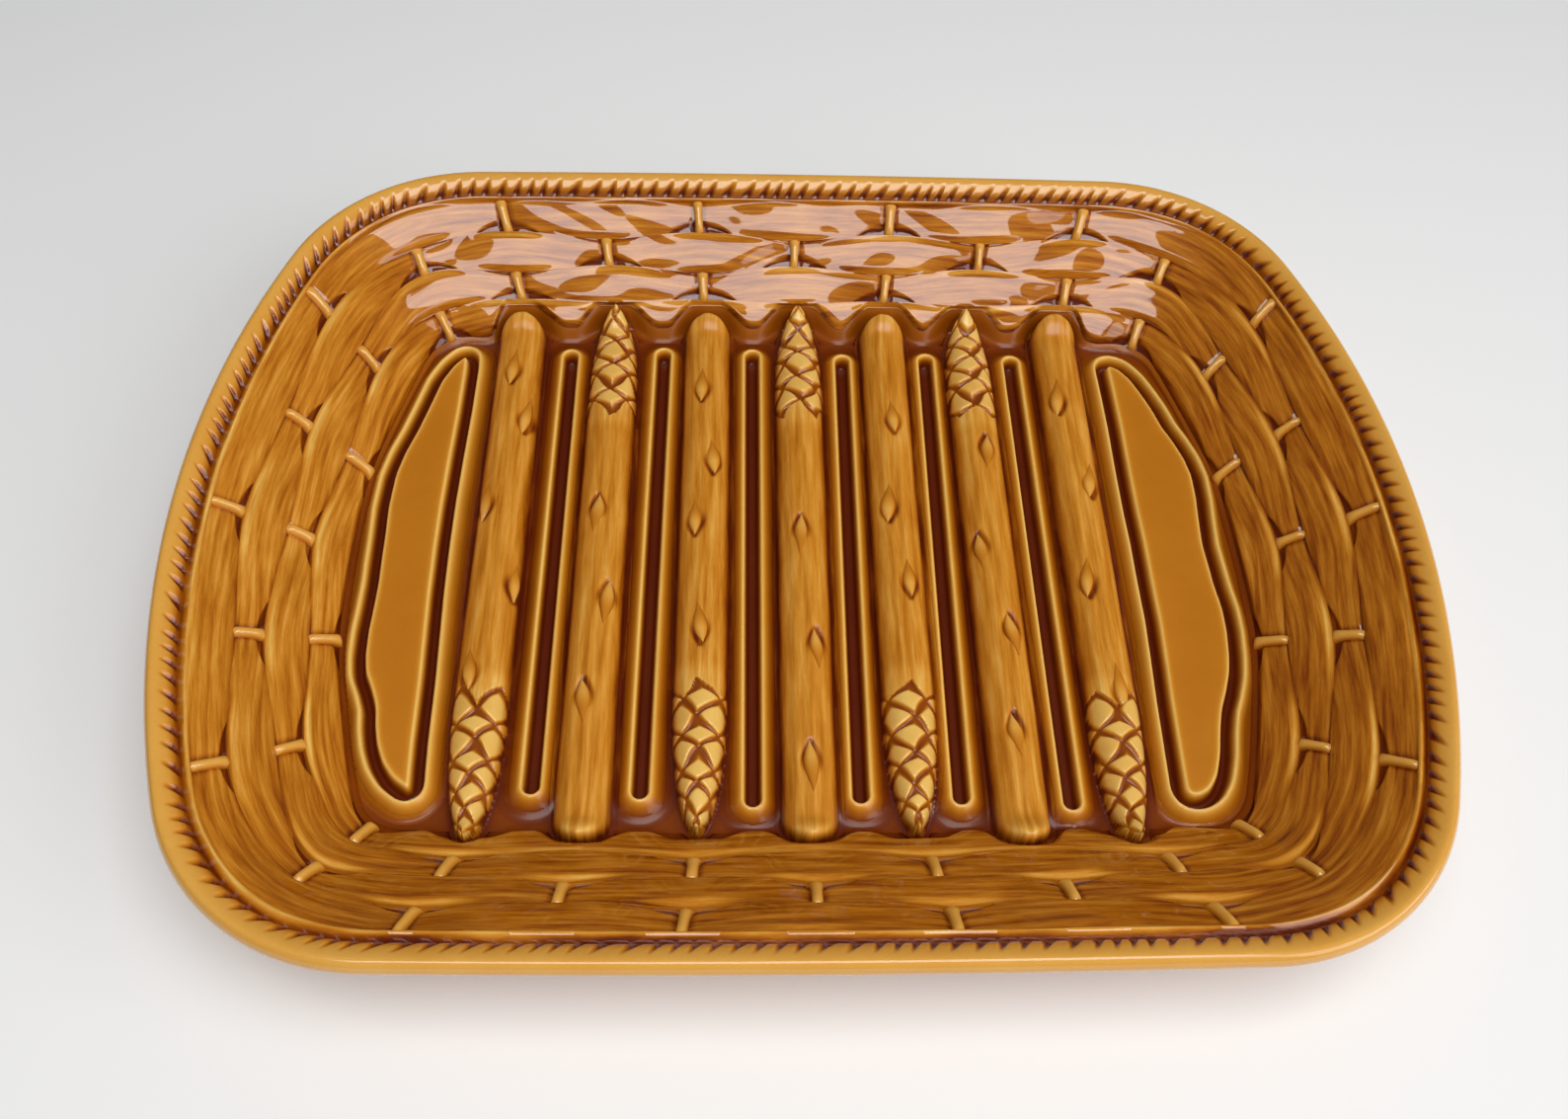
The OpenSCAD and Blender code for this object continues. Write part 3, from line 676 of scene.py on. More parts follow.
def makeRaster():
    # place, height, depth of glaze and owner of each point of the floor
    lines = (np.arange(-raster[a], raster[a] + 0.01, raster["step"]) for a in "xy")
    x, y = np.meshgrid(*lines, indexing="ij")
    z = troughAt(x, y)
    tone = 0.81 - 0.15 * smooth(1.02, 0.88, wallShare(x, y)) * (y > 0)
    owner = np.full(x.shape, "floor", dtype="U16")

    def press(d, reach, heights, tones):
        near = d < reach
        z[near] = (z + np.interp(d, *heights) - plate["floorTop"])[near]
        tone[near] = np.interp(d, *tones)[near]

    for k in range(6):
        d = slotDistance(k, x, y)
        press(d, slots["reach"], barProfile, barTone)
        owner[d < slots["edge"]] = "slotBar%d" % (k + 1)
    for side, label in ((-1, "Left"), (1, "Right")):
        cols = np.abs(x[:, 0] - side * groove["x"]) < groove["span"]
        d = np.full(x.shape, 99.0)
        d[cols] = signedDistance(plateauOutline(label), x[cols], y[cols])
        press(d, groove["reach"], grooveProfile, grooveTone)
        owner[d < groove["edge"]] = "grooveLip" + label
        owner[d < groove["plateau"]] = "plateau" + label
    for k in range(7):
        cols = np.abs(x[:, 0] - spears["nearX"][k]) < spears["band"]
        cx, cy = x[cols], y[cols]
        top, spearTone, q, onTip = spearTop(k, cx, cy)
        over = top - z[cols]
        lift = 0.5 * (np.sqrt(over ** 2 + raster["meet"] ** 2) - np.abs(over))
        z[cols] = softMax(z[cols], top, raster["meet"]) - lift * (over < -2)
        mix = smooth(-0.5, 0.4, over)
        tone[cols] = tone[cols] * (1 - mix) + spearTone * mix
        s, side, total = spearLocal(k, cx, cy)
        mine = (np.abs(q) < 1.0) | spearMargin(k, cx, cy, spears["margin"])
        part = owner[cols]
        part[mine] = "spear%d" % (k + 1)
        tip = (onTip & (s > total / 2)) | (s > total - spears["tip"] + spears["tipLead"])
        part[mine & tip] = "tip%d" % (k + 1)
        owner[cols] = part
    for radius, strength, most in raster["hollows"]:
        tone = tone + strength * np.clip(blur(z, radius / raster["step"]) - z, -most, most)
    return x, y, z, np.clip(tone, 0.02, 1.0), owner


gridX, gridY, gridZ, gridDepth, owner = makeRaster()
print("raster", gridZ.shape)


def cellPiece(name, mask, material, nodes, gridBelow=False):
    # closed piece from raster cells: the relief on top, straight sides, a bottom that stays inside the wall
    m = gridX.shape[1]
    i, j = np.nonzero(mask)
    corner = i * m + j
    corners = np.stack([corner, corner + m, corner + m + 1, corner + 1], -1)
    used, inverse = np.unique(corners, return_inverse=True)
    quads = inverse.reshape(corners.shape)
    top = np.stack([field.ravel()[used] for field in (gridX, gridY, gridZ)], -1)
    edges = np.concatenate([quads[:, [a, (a + 1) % 4]] for a in range(4)])
    key = edges.min(1).astype(np.int64) * len(used) + edges.max(1)
    _, first, count = np.unique(key, return_index=True, return_counts=True)
    rim = edges[first[count == 1]]
    rimVerts, rimInverse = np.unique(rim, return_inverse=True)
    if gridBelow:  # an outline with many holes in it keeps the raster's cells on its lower side too
        rimVerts, rimInverse = np.arange(len(used)), rim
    low = top[rimVerts].copy()
    height, slope, start = raster["bed"]
    low[:, 2] = np.maximum(raster["bottom"], height + slope * (start - wallShare(low[:, 0], low[:, 1])))
    lowIndex = rimInverse.reshape(rim.shape) + len(used)
    faces = [quads, np.stack([rim[:, 1], rim[:, 0], lowIndex[:, 0], lowIndex[:, 1]], -1)]
    if gridBelow:
        faces.append(quads[:, ::-1] + len(used))
    points = np.concatenate([top, low])
    depth = np.concatenate([gridDepth.ravel()[used], np.full(len(low), 0.6)])
    mesh = quadMesh(name, points, np.concatenate(faces), depth, points[:, 1::-1])
    closeMesh(mesh)
    finishPiece(mesh, name, material, nodes)


def cellOwners():
    # the piece that each cell belongs to; below the wall only spears have cells
    cells = owner[:-1, :-1].copy()
    footLine = planPoint(footPlan, footShares, np.linspace(0, 28, 561)[:-1])
    inFoot = signedDistance(footLine, gridX, gridY)[:-1, :-1] < -0.3
    onSpear = np.char.startswith(cells, "spear") | np.char.startswith(cells, "tip")
    cells[~inFoot & ~onSpear] = ""
    # where two floor cells touch at a corner only, one goes to its neighbour
    floor = cells == "floor"
    a, b, c, d = floor[:-1, :-1], floor[1:, :-1], floor[:-1, 1:], floor[1:, 1:]
    for i, j in np.argwhere(a & d & ~b & ~c):
        cells[i, j] = cells[i + 1, j]
    for i, j in np.argwhere(b & c & ~a & ~d):
        cells[i + 1, j] = cells[i, j]
    return cells


cellOwner = cellOwners()
for labels, kinds in (
    ("1234567", (("spearStem", "spear", "stem", "glaze_stems", "spear_stem_"),
                 ("spearTip", "tip", "tip", "glaze_tips", "spear_tip_"))),
    ("123456", (("slotBar", "slotBar", "bar", "glaze_slots", "slot_bar_"),)),
    (("Left", "Right"), (("grooveLip", "grooveLip", "body", "glaze_body", "groove_lip_"),
                         ("plateau", "plateau", "body", "glaze_body", "plateau_"))),
):
    for label in labels:
        for name, own, material, slot, node in kinds:
            cellPiece(name + label, cellOwner == own + label, material, [node + label.lower()])
cellPiece("dishFloor", cellOwner == "floor", "body", ["dish_floor"], gridBelow=True)
print("floor, spears and bars made")


# trees of geometry nodes
def shapeTree(name, sockets):
    # a tree from geometry to geometry, with these inputs beside it
    return newTree("GeometryNodeTree", name, [("Geometry", "Geometry")] + sockets, [("Geometry", "Geometry")])


def named(tree, name, kind):
    return setNode(tree, "GeometryNodeInputNamedAttribute", {"Name": name}, data_type=kind)[0]


def endTree(tree, geometry, glazeSocket, out):
    # every tree ends in plain, glazed geometry
    real = setNode(tree, "GeometryNodeRealizeInstances", {0: geometry})[0]
    coat = setNode(tree, "GeometryNodeSetMaterial", {"Geometry": real, "Material": glazeSocket})
    fill(tree, out[0], coat[0])


def runTree(carrier, tree, values, name):
    # the carrier's modifier is set by socket identifiers, evaluated and taken off again
    modifier = carrier.modifiers.new(name, "NODES")
    modifier.node_group = tree
    for item in tree.interface.items_tree:
        if item.item_type == "SOCKET" and item.in_out == "INPUT" and item.name in values:
            modifier[item.identifier] = values[item.name]
    graph = bpy.context.evaluated_depsgraph_get()
    mesh = bpy.data.meshes.new_from_object(carrier.evaluated_get(graph), depsgraph=graph)
    mesh.name = name
    carrier.modifiers.clear()
    bpy.data.objects.remove(carrier)
    return mesh


def setOutTree():
    # one shape on each point, turned and stretched as the point says
    tree, ins, out = shapeTree("set out shapes", [("Shape", "Object"), ("Glaze", "Material")])
    shape = setNode(tree, "GeometryNodeObjectInfo", {"Object": ins["Shape"]})["Geometry"]
    turn = setNode(tree, "FunctionNodeEulerToRotation", {0: named(tree, "turn", "FLOAT_VECTOR")})[0]
    place = setNode(tree, "GeometryNodeInstanceOnPoints", {
        "Points": ins["Geometry"], "Instance": shape, "Rotation": turn,
        "Scale": named(tree, "stretch", "FLOAT_VECTOR")})
    endTree(tree, place[0], ins["Glaze"], out)
    return tree


def setOut(name, shape, points, glazeName, nodes):
    # points are (place in millimetres, the shape's three axes there, stretch)
    places, axes, stretches = zip(*points)
    mesh = bpy.data.meshes.new(name)
    mesh.from_pydata([tuple(p * 0.001) for p in places], [], [])
    store(mesh, "turn", [Matrix(np.stack(a, 1)).to_euler() for a in axes], "FLOAT_VECTOR")
    store(mesh, "stretch", stretches, "FLOAT_VECTOR")
    mesh = runTree(addObject(mesh, name), shapesTree, {"Shape": shape, "Glaze": materials[glazeName]}, name)
    finishPiece(mesh, name, glazeName, nodes)


shapesTree = setOutTree()


def shellMesh(name, rings, depth):
    # closed mesh in millimetres from rings of points, with both ends capped
    n, m = rings.shape[:2]
    faces = [(i * m + j, i * m + (j + 1) % m, (i + 1) * m + (j + 1) % m, (i + 1) * m + j)
             for i in range(n - 1) for j in range(m)]
    faces += [tuple(range(m)), tuple(range((n - 1) * m, n * m))]
    mesh = bpy.data.meshes.new(name)
    mesh.from_pydata([tuple(p * 0.001) for p in rings.reshape(-1, 3)], [], faces)
    store(mesh, "depth", depth)
    closeMesh(mesh)
    return mesh


# bracts, set out on the stems
def leafMesh():
    # a small scale leaf, a millimetre long, wide and high: its point at +Y, its tail sunk
    n, m = 13, 9
    rings, depth = [], []
    for i in range(n):
        c = 0.02 + 0.98 * i / (n - 1)
        half = max(float(leafHalf(np.array(c))), 0.004)
        lift = math.sin(math.pi / 2 * min(1, c / 0.7)) ** 1.1
        ring, tone = [], []
        for j in range(m):
            u = -1 + 2 * j / (m - 1)
            dome = (1 - abs(u) ** 3) ** 0.6 if abs(u) < 1 else 0.0
            ring.append((u * half, c - 0.5, lift * (0.25 + 0.75 * dome) - 0.45 * (1 - lift) - 0.35 * u * u))
            # the last term is painted shade on one side of the leaf (negative u)
            tone.append(0.46 - 0.30 * lift * dome * min(1, max(0, (c - 0.3) / 0.35)) + 0.1 * (1 - dome)
                        + 0.22 * max(-u, 0) ** 2)
        ring += [(half, c - 0.5, -1.4), (-half, c - 0.5, -1.4)]
        rings.append(ring)
        depth.append(tone + [0.6, 0.6])
    return shellMesh("leaf", np.array(rings), np.array(depth))


def bractRows():
    leaf = addObject(leafMesh(), "leaf")
    rng = np.random.default_rng(11)
    for k in range(7):
        points = []
        for bx, by in bractPlaces[k]:
            z = spearTop(k, bx + np.array([0, 0.5, -0.5, 0, 0]), by + np.array([0, 0, 0, 0.5, -0.5]))[0]
            out = np.array([0.8 * (z[2] - z[1]), 0.8 * (z[4] - z[3]), 1.0])
            out /= np.linalg.norm(out)
            lean = math.radians(bract["lean"]) * rng.uniform(-1, 1)
            down = np.array([math.sin(lean), -facing(k) * math.cos(lean), 0.0])
            down -= out * down.dot(out)
            down /= np.linalg.norm(down)
            stretch = (bract["width"] * rng.uniform(0.92, 1.08), bract["length"] * rng.uniform(0.9, 1.1),
                       bract["height"])
            points.append((np.array([bx, by, z[0] - 0.05]), (np.cross(down, out), down, out), stretch))
        setOut("bracts%d" % (k + 1), leaf, points, "bract", ["bracts_%d" % (k + 1)])
    bpy.data.objects.remove(leaf)


bractRows()
print("bracts made")

# wall and weave
weave = {
    "strand": 2.5,
    "dip": 0.7,
    "crown": 0.12,  # how far a strand's middle stands above its edges
    "blend": 1.2,  # softens the meeting of two strands
    "shoulder": (2.8, 2.2),
    "pocket": (0.8, 3.4),  # from the middle of a stake, where its strand dives behind it
    "lens": 11.0,
    # height of the eye beside a stake: towards the rim, towards the middle, more of that on the far wall
    "hollow": (1.2, 2.7, 1.9),
    "paintedSideShade": (0.15, 0.19, 0.16),  # painted shade on the far, near and right walls
    "wave": 0.021,
    "stations": 2016,
}
stationBay = np.arange(weave["stations"]) * 28 / weave["stations"]


def sideBay(bay):
    # bays from the middle of the nearest long side
    b = np.mod(bay + 14, 28) - 14  # -14..14, 0 far middle
    return np.where(np.abs(b) <= 7, b, (14 - np.abs(b)) * np.sign(b))


def swell(row, bay):
    away = np.abs(np.mod(bay + row + 1, 2) - 1)  # bays from the nearest stake that shows
    full = np.sin(math.pi / 2 * away)
    if row == 4:
        onSide = smooth(3.9, 3.3, np.abs(sideBay(bay)))
        full = full * (1 - onSide) + 0.92 * onSide
        away = away * (1 - onSide) + onSide
    return full, away


def rowEdge(row, bay):
    # share of the wall's width where a row ends, waved by the strands that swell
    if row == 0:
        return np.full_like(bay, 0.170)
    w = plate["weaveStart"] + row * plate["rowShare"]
    above = swell(row, bay)[0] ** 2
    if row == 4:
        p = wallPoint(bay, np.full_like(bay, 0.9), np.zeros_like(bay))
        return lastEdge(p[..., 0], p[..., 1]) - 0.012 * (1 - above)
    return w + weave["wave"] * (above - swell(row + 1, bay)[0] ** 2)


def nearSpears(p):
    # 1 inside a spear's outline, falling to 0 a little outside it
    cover = np.zeros(p.shape[:-1])
    for k in range(7):
        near = (np.abs(p[..., 0] - lineX(spears, k, p[..., 1])) < spears["band"]) & (np.abs(p[..., 1]) > 60)
        if not near.any():
            continue
        x, y = p[..., 0][near], p[..., 1][near]
        steps = [spearMargin(k, x, y, m) for m in (0.4, 0.9, 1.4, 1.9, 2.4, 2.9, 3.4)]
        cover[near] = np.maximum(cover[near], np.mean(steps, 0))
    return cover


def strandHeight(row, bay):
    if row < 1 or row > 4:
        return np.full_like(bay, 0.0)
    return weave["dip"] + (weave["strand"] - weave["dip"]) * swell(row, bay)[0]


def strandRelief(row, bay, c, widthMm, pitchMm, far, ends):
    full, away = swell(row, bay)
    t = away * pitchMm
    own = strandHeight(row, bay)
    borders = []
    for other in (row - 1, row + 1):
        beyond = strandHeight(other, bay)
        gap = np.sqrt((own - beyond) ** 2 + weave["blend"] ** 2)
        borders.append(0.5 * (own + beyond + weave["blend"] - gap) - 0.05)
    pocket = smooth(*weave["pocket"], t)
    d = c * widthMm, (1 - c) * widthMm
    lens = np.clip(1 - (t / weave["lens"]) ** 2, 0, 1)
    crown = full * (1 - (2 * c - 1) ** 2)
    # slow waves that the hand-cut mould left in the strands
    turn, lie = bay * math.pi / 14, row + c
    waves = 0.54 * np.sin(23 * turn + 0.8 * np.sin(lie * 2.1)) * np.sin(lie * 3.3 + 0.9 * np.sin(8 * turn))
    small = np.sin(13 * turn + 0.7 * np.sin(lie * 1.7)) * np.sin(lie * 2.3 + np.sin(10 * turn + 1))
    waves = waves + 0.66 * small
    middle = own * (0.35 + 0.65 * pocket) + weave["crown"] * crown + waves * pocket * (0.25 + 0.75 * far)
    rise = middle
    # painted shadow darkens the strand within about 3.4 mm of each stake's middle
    tone = 0.44 - 0.04 * crown + 0.25 * (1 - smooth(1.6, 3.4, t))
    for side in (0, 1):
        shoulder = smooth(0, weave["shoulder"][side], d[side])
        rise = rise - (middle - np.minimum(borders[side], middle)) * (1 - shoulder)
        height = weave["hollow"][side] + side * weave["hollow"][2] * far
        hollow = smooth(1.0, 0.45, d[side] / (height * lens + 0.01)) * smooth(0, 0.15, lens)
        rise = rise - (0.25, 0.9)[side] * hollow
        line = np.exp(-(((d[side] - 1.2) / 0.95) ** 2))
        bulge = smooth(0.74, 0.99, full)
        tone = tone + (0.14, 0.40)[side] * hollow - (0.33, 0.06)[side] * line * bulge
        # the seams show all along the end walls
        tone = tone + ends * ((-0.14, 0.0)[side] * line + 0.20 * np.exp(-((d[side] / 0.7) ** 2)))
    if row == 1:  # the light bead that runs between the rope and the first strand
        bead = -0.3 + 2.6 * smooth(0.0, 1.05, d[0]) * (1 - 0.5 * smooth(1.5, 3.4, d[0]))
        mix = 1 - smooth(1.5, 3.3, d[0])
        rise = rise * (1 - mix) + bead * mix
        beadTone = 0.72 - (0.66 - 0.3 * far) * smooth(0.35, 0.95, d[0]) + 0.3 * smooth(1.5, 2.3, d[0])
        tone = tone * (1 - mix) + beadTone * mix
    if row == 4:
        tone = tone + 0.25 * np.exp(-((d[1] / 1.1) ** 2))
    return rise, tone


def strandRow(row, columns):
    bay = stationBay[:, None] * np.ones(columns)
    outer, inner = rowEdge(row - 1, stationBay), rowEdge(row, stationBay)
    c = 0.5 - 0.5 * np.cos(np.linspace(0, math.pi, columns)) * np.ones((len(stationBay), 1))
    c = 0.5 * c + 0.5 * np.linspace(0, 1, columns)
    w = outer[:, None] * (1 - c) + inner[:, None] * c
    flat = wallPoint(bay, w, np.zeros_like(w))
    mid = flat[:, columns // 2]
    step = np.linalg.norm(np.roll(mid, -1, 0) - np.roll(mid, 1, 0), axis=1) / 2
    pitchMm = (step * weave["stations"] / 28)[:, None]
    widthMm = np.linalg.norm(flat[:, -1] - flat[:, 0], axis=1)[:, None]
    inward = (flat[:, -1] - flat[:, 0])[:, :2]
    inward = inward / np.linalg.norm(inward, axis=1)[:, None]
    faces = [np.clip(v, 0, 1)[:, None] ** 2 for v in (-inward[:, 1], inward[:, 1], -inward[:, 0])]
    rise, tone = strandRelief(row, bay, c, widthMm, pitchMm, faces[0], inward[:, :1] ** 2)
    # painted shade: each wall is darkened by how far it faces the far side, the near side or the right
    tone = tone + sum(paintedShade * share for paintedShade, share in zip(weave["paintedSideShade"], faces))
    if row > 2:
        cover = nearSpears(flat)
        rise = rise * (1 - smooth(0.0, 0.75, cover)) - 2.0 * smooth(0.5, 0.85, cover)
        # painted shadow round the spears' ends, darker on the far side
        tone = tone + np.where(flat[..., 1] > 0, 0.26, 0.14) * smooth(0.0, 0.6, cover)
    top = wallPoint(bay, w, rise)
    along = np.cumsum(step)
    along = np.mod(along - along[(weave["stations"] // 28) * (row % 2)], along[-1])
    along = along[:, None] * np.ones(columns)
    across = c * widthMm + row * 40
    # underside: two lines sunk below the borders
    sunk = wallPoint(bay[:, :2], np.stack([inner, outer], -1), np.full((len(stationBay), 2), -2.6))
    points = np.concatenate([top, sunk], 1)
    depth = np.concatenate([np.clip(tone, 0.02, 1), np.full((len(stationBay), 2), 0.6)], 1)
    grain = np.concatenate([np.stack([along, across], -1), np.zeros((len(stationBay), 2, 2))], 1)
    ringPiece("weaveRow%d" % row, points, depth, grain, "weave", ["weave_row_%d" % row])


for row in (1, 2, 3, 4):
    strandRow(row, 27)


trough = {
    "columns": 22,
    "end": 1.014,  # share of the wall's width
    "outer": ((1.014, 4.5), (0.965, 3.0), (0.94, 3.3), (0.15, 32.4), (0.2, 34.0)),  # shares and heights
    "bed": ((0.13, 3.2), (0.02, 3.4)),  # under the strands: how far back from their end, and how deep
}


def toeStrip():
    # the trough between the last row and the floor, with the wall's outer face
    n, cols = len(stationBay), trough["columns"]
    start, level = rowEdge(4, stationBay), np.zeros(n)
    c = np.linspace(0, 1, cols)
    w = start[:, None] * (1 - c) + trough["end"] * c
    bay = stationBay[:, None] * np.ones(cols)
    flat = wallPoint(bay, w, np.zeros_like(w))
    cover = nearSpears(flat)
    rise = -0.12 * (1 - smooth(0.0, 0.5, c)) - 0.22 * smooth(0.7, 1.0, c) - 2.0 * smooth(0.5, 0.85, cover)
    top = wallPoint(bay, w, rise)
    sink = groundAt(flat[..., 0], flat[..., 1]) - troughAt(flat[..., 0], flat[..., 1])
    top[..., 2] -= sink
    low = [np.column_stack([wallPoint(stationBay, np.full(n, share), level)[:, :2], np.full(n, z)])
           for share, z in trough["outer"]]
    low += [wallPoint(stationBay, start - back, level) - (0, 0, drop) for back, drop in trough["bed"]]
    points = np.concatenate([top, np.stack(low, 1)], 1)
    far = smooth(0, 60, flat[..., 1]) * smooth(1.0, 0.5, c)
    tone = 0.84 - 0.15 * far + 0.12 * cover + (0.11 - 0.06 * far) * np.clip(sink / 2, 0, 1)
    depth = np.concatenate([tone, np.full((n, len(low)), 0.42)], 1)
    grain = np.zeros((*points.shape[:2], 2))
    ringPiece("dishWall", points, depth, grain, "body", ["dish_wall"])


toeStrip()
print("weave and wall made")

# rim and rope
rope = {
    "pitch": 5.3,
    "notch": 1.05,
    "swell": 0.4,
    "lean": 0.85,  # turns that a strand gains from the groove to the crest
    "width": (0.66, 0.20),  # of a notch, in shares of the pitch, inside and outside
    "turnPoints": 14,
    "wander": 0.2,
}
ropeTurns = 4 * round(rimLength / rope["pitch"])
ropeStations = ropeTurns * rope["turnPoints"]
rimSection = [  # share of the wall's width, height; from the groove over the crest to the seat
    (0.170, 37.4), (0.166, 37.8), (0.156, 38.6), (0.140, 39.6), (0.12, 40.6), (0.10, 41.4), (0.08, 42.1),
    (0.062, 42.55), (0.046, 42.7), (0.026, 42.3), (0.009, 41.3), (0.0, 39.8), (0.004, 38.3), (0.018, 37.2),
    (0.045, 36.2), (0.095, 34.6), (0.15, 32.4),
]


def ropeBay(share):
    # bay at an even share of the whole rim
    quarter = np.floor(share * 4)
    part = share * 4 - quarter
    local = np.interp(np.where(quarter % 2 == 0, part, 1 - part), rimShares, np.arange(8))
    return quarter * 7 + np.where(quarter % 2 == 0, local, 7 - local)


def twistTree():
    # notches pressed along the inner half of the rim, one to each turn of the rope
    tree, ins, out = shapeTree("twist rope", [
        ("Notch", "Float"), ("Swell", "Float"), ("Inner width", "Float"), ("Outer width", "Float"),
        ("Glaze", "Material")])

    def ranged(*values):
        # value, then the range it comes from and the range it is brought to
        return setNode(tree, "ShaderNodeMapRange", enumerate(values), interpolation_type="SMOOTHSTEP")[0]

    rise = named(tree, "rise", "FLOAT")
    turn = mathNode(tree, "FRACT", named(tree, "phase", "FLOAT"))
    away = mathNode(tree, "MULTIPLY", mathNode(tree, "ABSOLUTE", mathNode(tree, "SUBTRACT", turn, 0.5)), 2.0)
    width = ranged(rise, 0.15, 0.85, ins["Inner width"], ins["Outer width"])
    cut = mathNode(tree, "MULTIPLY", ranged(away, 0.0, width, 1.0, 0.0), ranged(rise, 0.36, 0.78, 1.0, 0.0),
                   ranged(rise, 0.0, 0.16, 0.25, 1.0))
    push = mathNode(tree, "MULTIPLY", ranged(rise, 0.03, 0.25, 0.0, 1.0), ranged(rise, 0.35, 0.95, 1.0, 0.0),
                    ins["Swell"])
    push = mathNode(tree, "SUBTRACT", push, mathNode(tree, "MULTIPLY", cut, ins["Notch"]))
    shift = setNode(tree, "ShaderNodeVectorMath", {0: named(tree, "outward", "FLOAT_VECTOR"), "Scale": push},
                    operation="SCALE")[0]
    moved = setNode(tree, "GeometryNodeSetPosition", {"Geometry": ins["Geometry"], "Offset": shift})[0]
    tone = mathNode(tree, "ADD", named(tree, "depth", "FLOAT"), mathNode(tree, "MULTIPLY", cut, 0.50))
    toned = {"Geometry": moved, "Name": "depth", "Value": tone}
    kept = setNode(tree, "GeometryNodeStoreNamedAttribute", toned, data_type="FLOAT", domain="POINT")[0]
    endTree(tree, kept, ins["Glaze"], out)
    return tree


def rimPieces():
    n = ropeStations
    share = np.arange(n) / n
    bay = ropeBay(share)
    at = np.array(rimSection)
    t = np.concatenate([[0], np.cumsum(np.hypot(np.diff(at[:, 0]) * 52, np.diff(at[:, 1])))])
    cols = 48
    ft = np.linspace(0, t[-1], cols)
    secW, secZ = np.interp(ft, t, at[:, 0]), np.interp(ft, t, at[:, 1])
    for _ in range(2):  # round the corners of the section
        for line in (secW, secZ):
            line[1:-1] = 0.25 * line[:-2] + 0.5 * line[1:-1] + 0.25 * line[2:]
    crest = int(np.argmax(secZ))
    rho = ft / ft[crest]  # 0 in the groove, 1 on the crest
    rim, foot = planPoint(rimPlan, rimShares, bay), planPoint(footPlan, footShares, bay)
    run = foot - rim
    unit = run / np.hypot(run[:, 0], run[:, 1])[:, None]
    dw, dz = np.gradient(secW) * 50, np.gradient(secZ)
    size = np.hypot(dw, dz)
    normalIn, normalUp = dz / size, -dw / size
    xy = rim[:, None] + run[:, None] * secW[None, :, None]
    points = np.concatenate([xy, np.broadcast_to(secZ, (n, cols))[..., None]], -1)
    outward = np.concatenate([unit[:, None] * normalIn[None, :, None],
                              np.broadcast_to(normalUp, (n, cols))[..., None]], -1)
    waves = np.sin(share * 2 * math.pi * 23) + 0.7 * np.sin(share * 2 * math.pi * 41 + 1.3)
    wander = rope["wander"] * waves
    phase = share[:, None] * ropeTurns + wander[:, None] - rope["lean"] * np.clip(rho, 0, 1.1) ** 1.1
    depth = 0.24 + 0.46 * smooth(0.50, 0.10, rho) - 0.07 * smooth(0.4, 0.8, rho)
    depth = np.broadcast_to(depth + 0.10 * smooth(1.3, 2.2, rho), (n, cols))

    def ringMesh(name, a, b, extra):
        # columns a to b of the section, closed by the extra ones
        p = np.concatenate([points[:, a:b], extra], 1)
        pad = ((0, 0), (0, extra.shape[1]))
        mesh = quadMesh(name, p, ringQuads(p), np.pad(depth[:, a:b], pad, constant_values=0.5))
        store(mesh, "phase", np.pad(phase[:, a:b], pad, mode="edge"))
        store(mesh, "rise", np.pad(np.broadcast_to(rho, (n, cols))[:, a:b], pad, constant_values=9))
        store(mesh, "outward", np.pad(outward[:, a:b] * 0.001, (*pad, (0, 0))), "FLOAT_VECTOR")
        return mesh

    core, root = (np.column_stack([rim + run * w, np.full(n, z)])[:, None]
                  for w, z in ((0.06, 38.5), (0.145, 35.3)))
    border = addObject(ringMesh("ropeBorder", 0, crest + 2, np.concatenate([core, root], 1)), "ropeBorder")
    values = {"Notch": rope["notch"], "Swell": rope["swell"], "Inner width": rope["width"][0],
              "Outer width": rope["width"][1], "Glaze": materials["rim"]}
    twisted = runTree(border, twistTree(), values, "ropeBorder")
    finishPiece(twisted, "ropeBorder", "rim", ["rope_border"])
    lip = ringMesh("rimLip", crest + 1, cols, np.concatenate([root, core], 1))
    finishPiece(lip, "rimLip", "rim", ["rim_lip"])


rimPieces()
print("rim and rope made")

# stakes, set out along each row
stake = {"width": 3.7, "height": 2.5, "overlap": 2.2, "lean": 4.0}


def pegMesh():
    # one stake, a millimetre long, wide and high: X across, Y down the wall, Z out
    rings, depth = [], []
    for v in np.linspace(-1, 1, 15):
        waist = 0.40 + (0.24 if v > 0 else 0.02) * abs(v) ** 2.2
        end = max(1 - abs(v) ** 4.5, 0.0) ** 0.7
        ring, tone = [], []
        for angle in np.linspace(0, math.pi, 11):
            high = math.sin(angle) ** 0.75
            ring.append((-math.cos(angle) * waist, v * 0.5, high * (0.25 + 0.75 * end) - 0.55 * (1 - end)))
            tone.append(0.15 + 0.42 * (1 - high) ** 1.3 + 0.10 * max(-v, 0) ** 4)
        ring += [(waist, v * 0.5, -1.2), (-waist, v * 0.5, -1.2)]
        rings.append(ring)
        depth.append(tone + [0.6, 0.6])
    return shellMesh("peg", np.array(rings), np.array(depth))


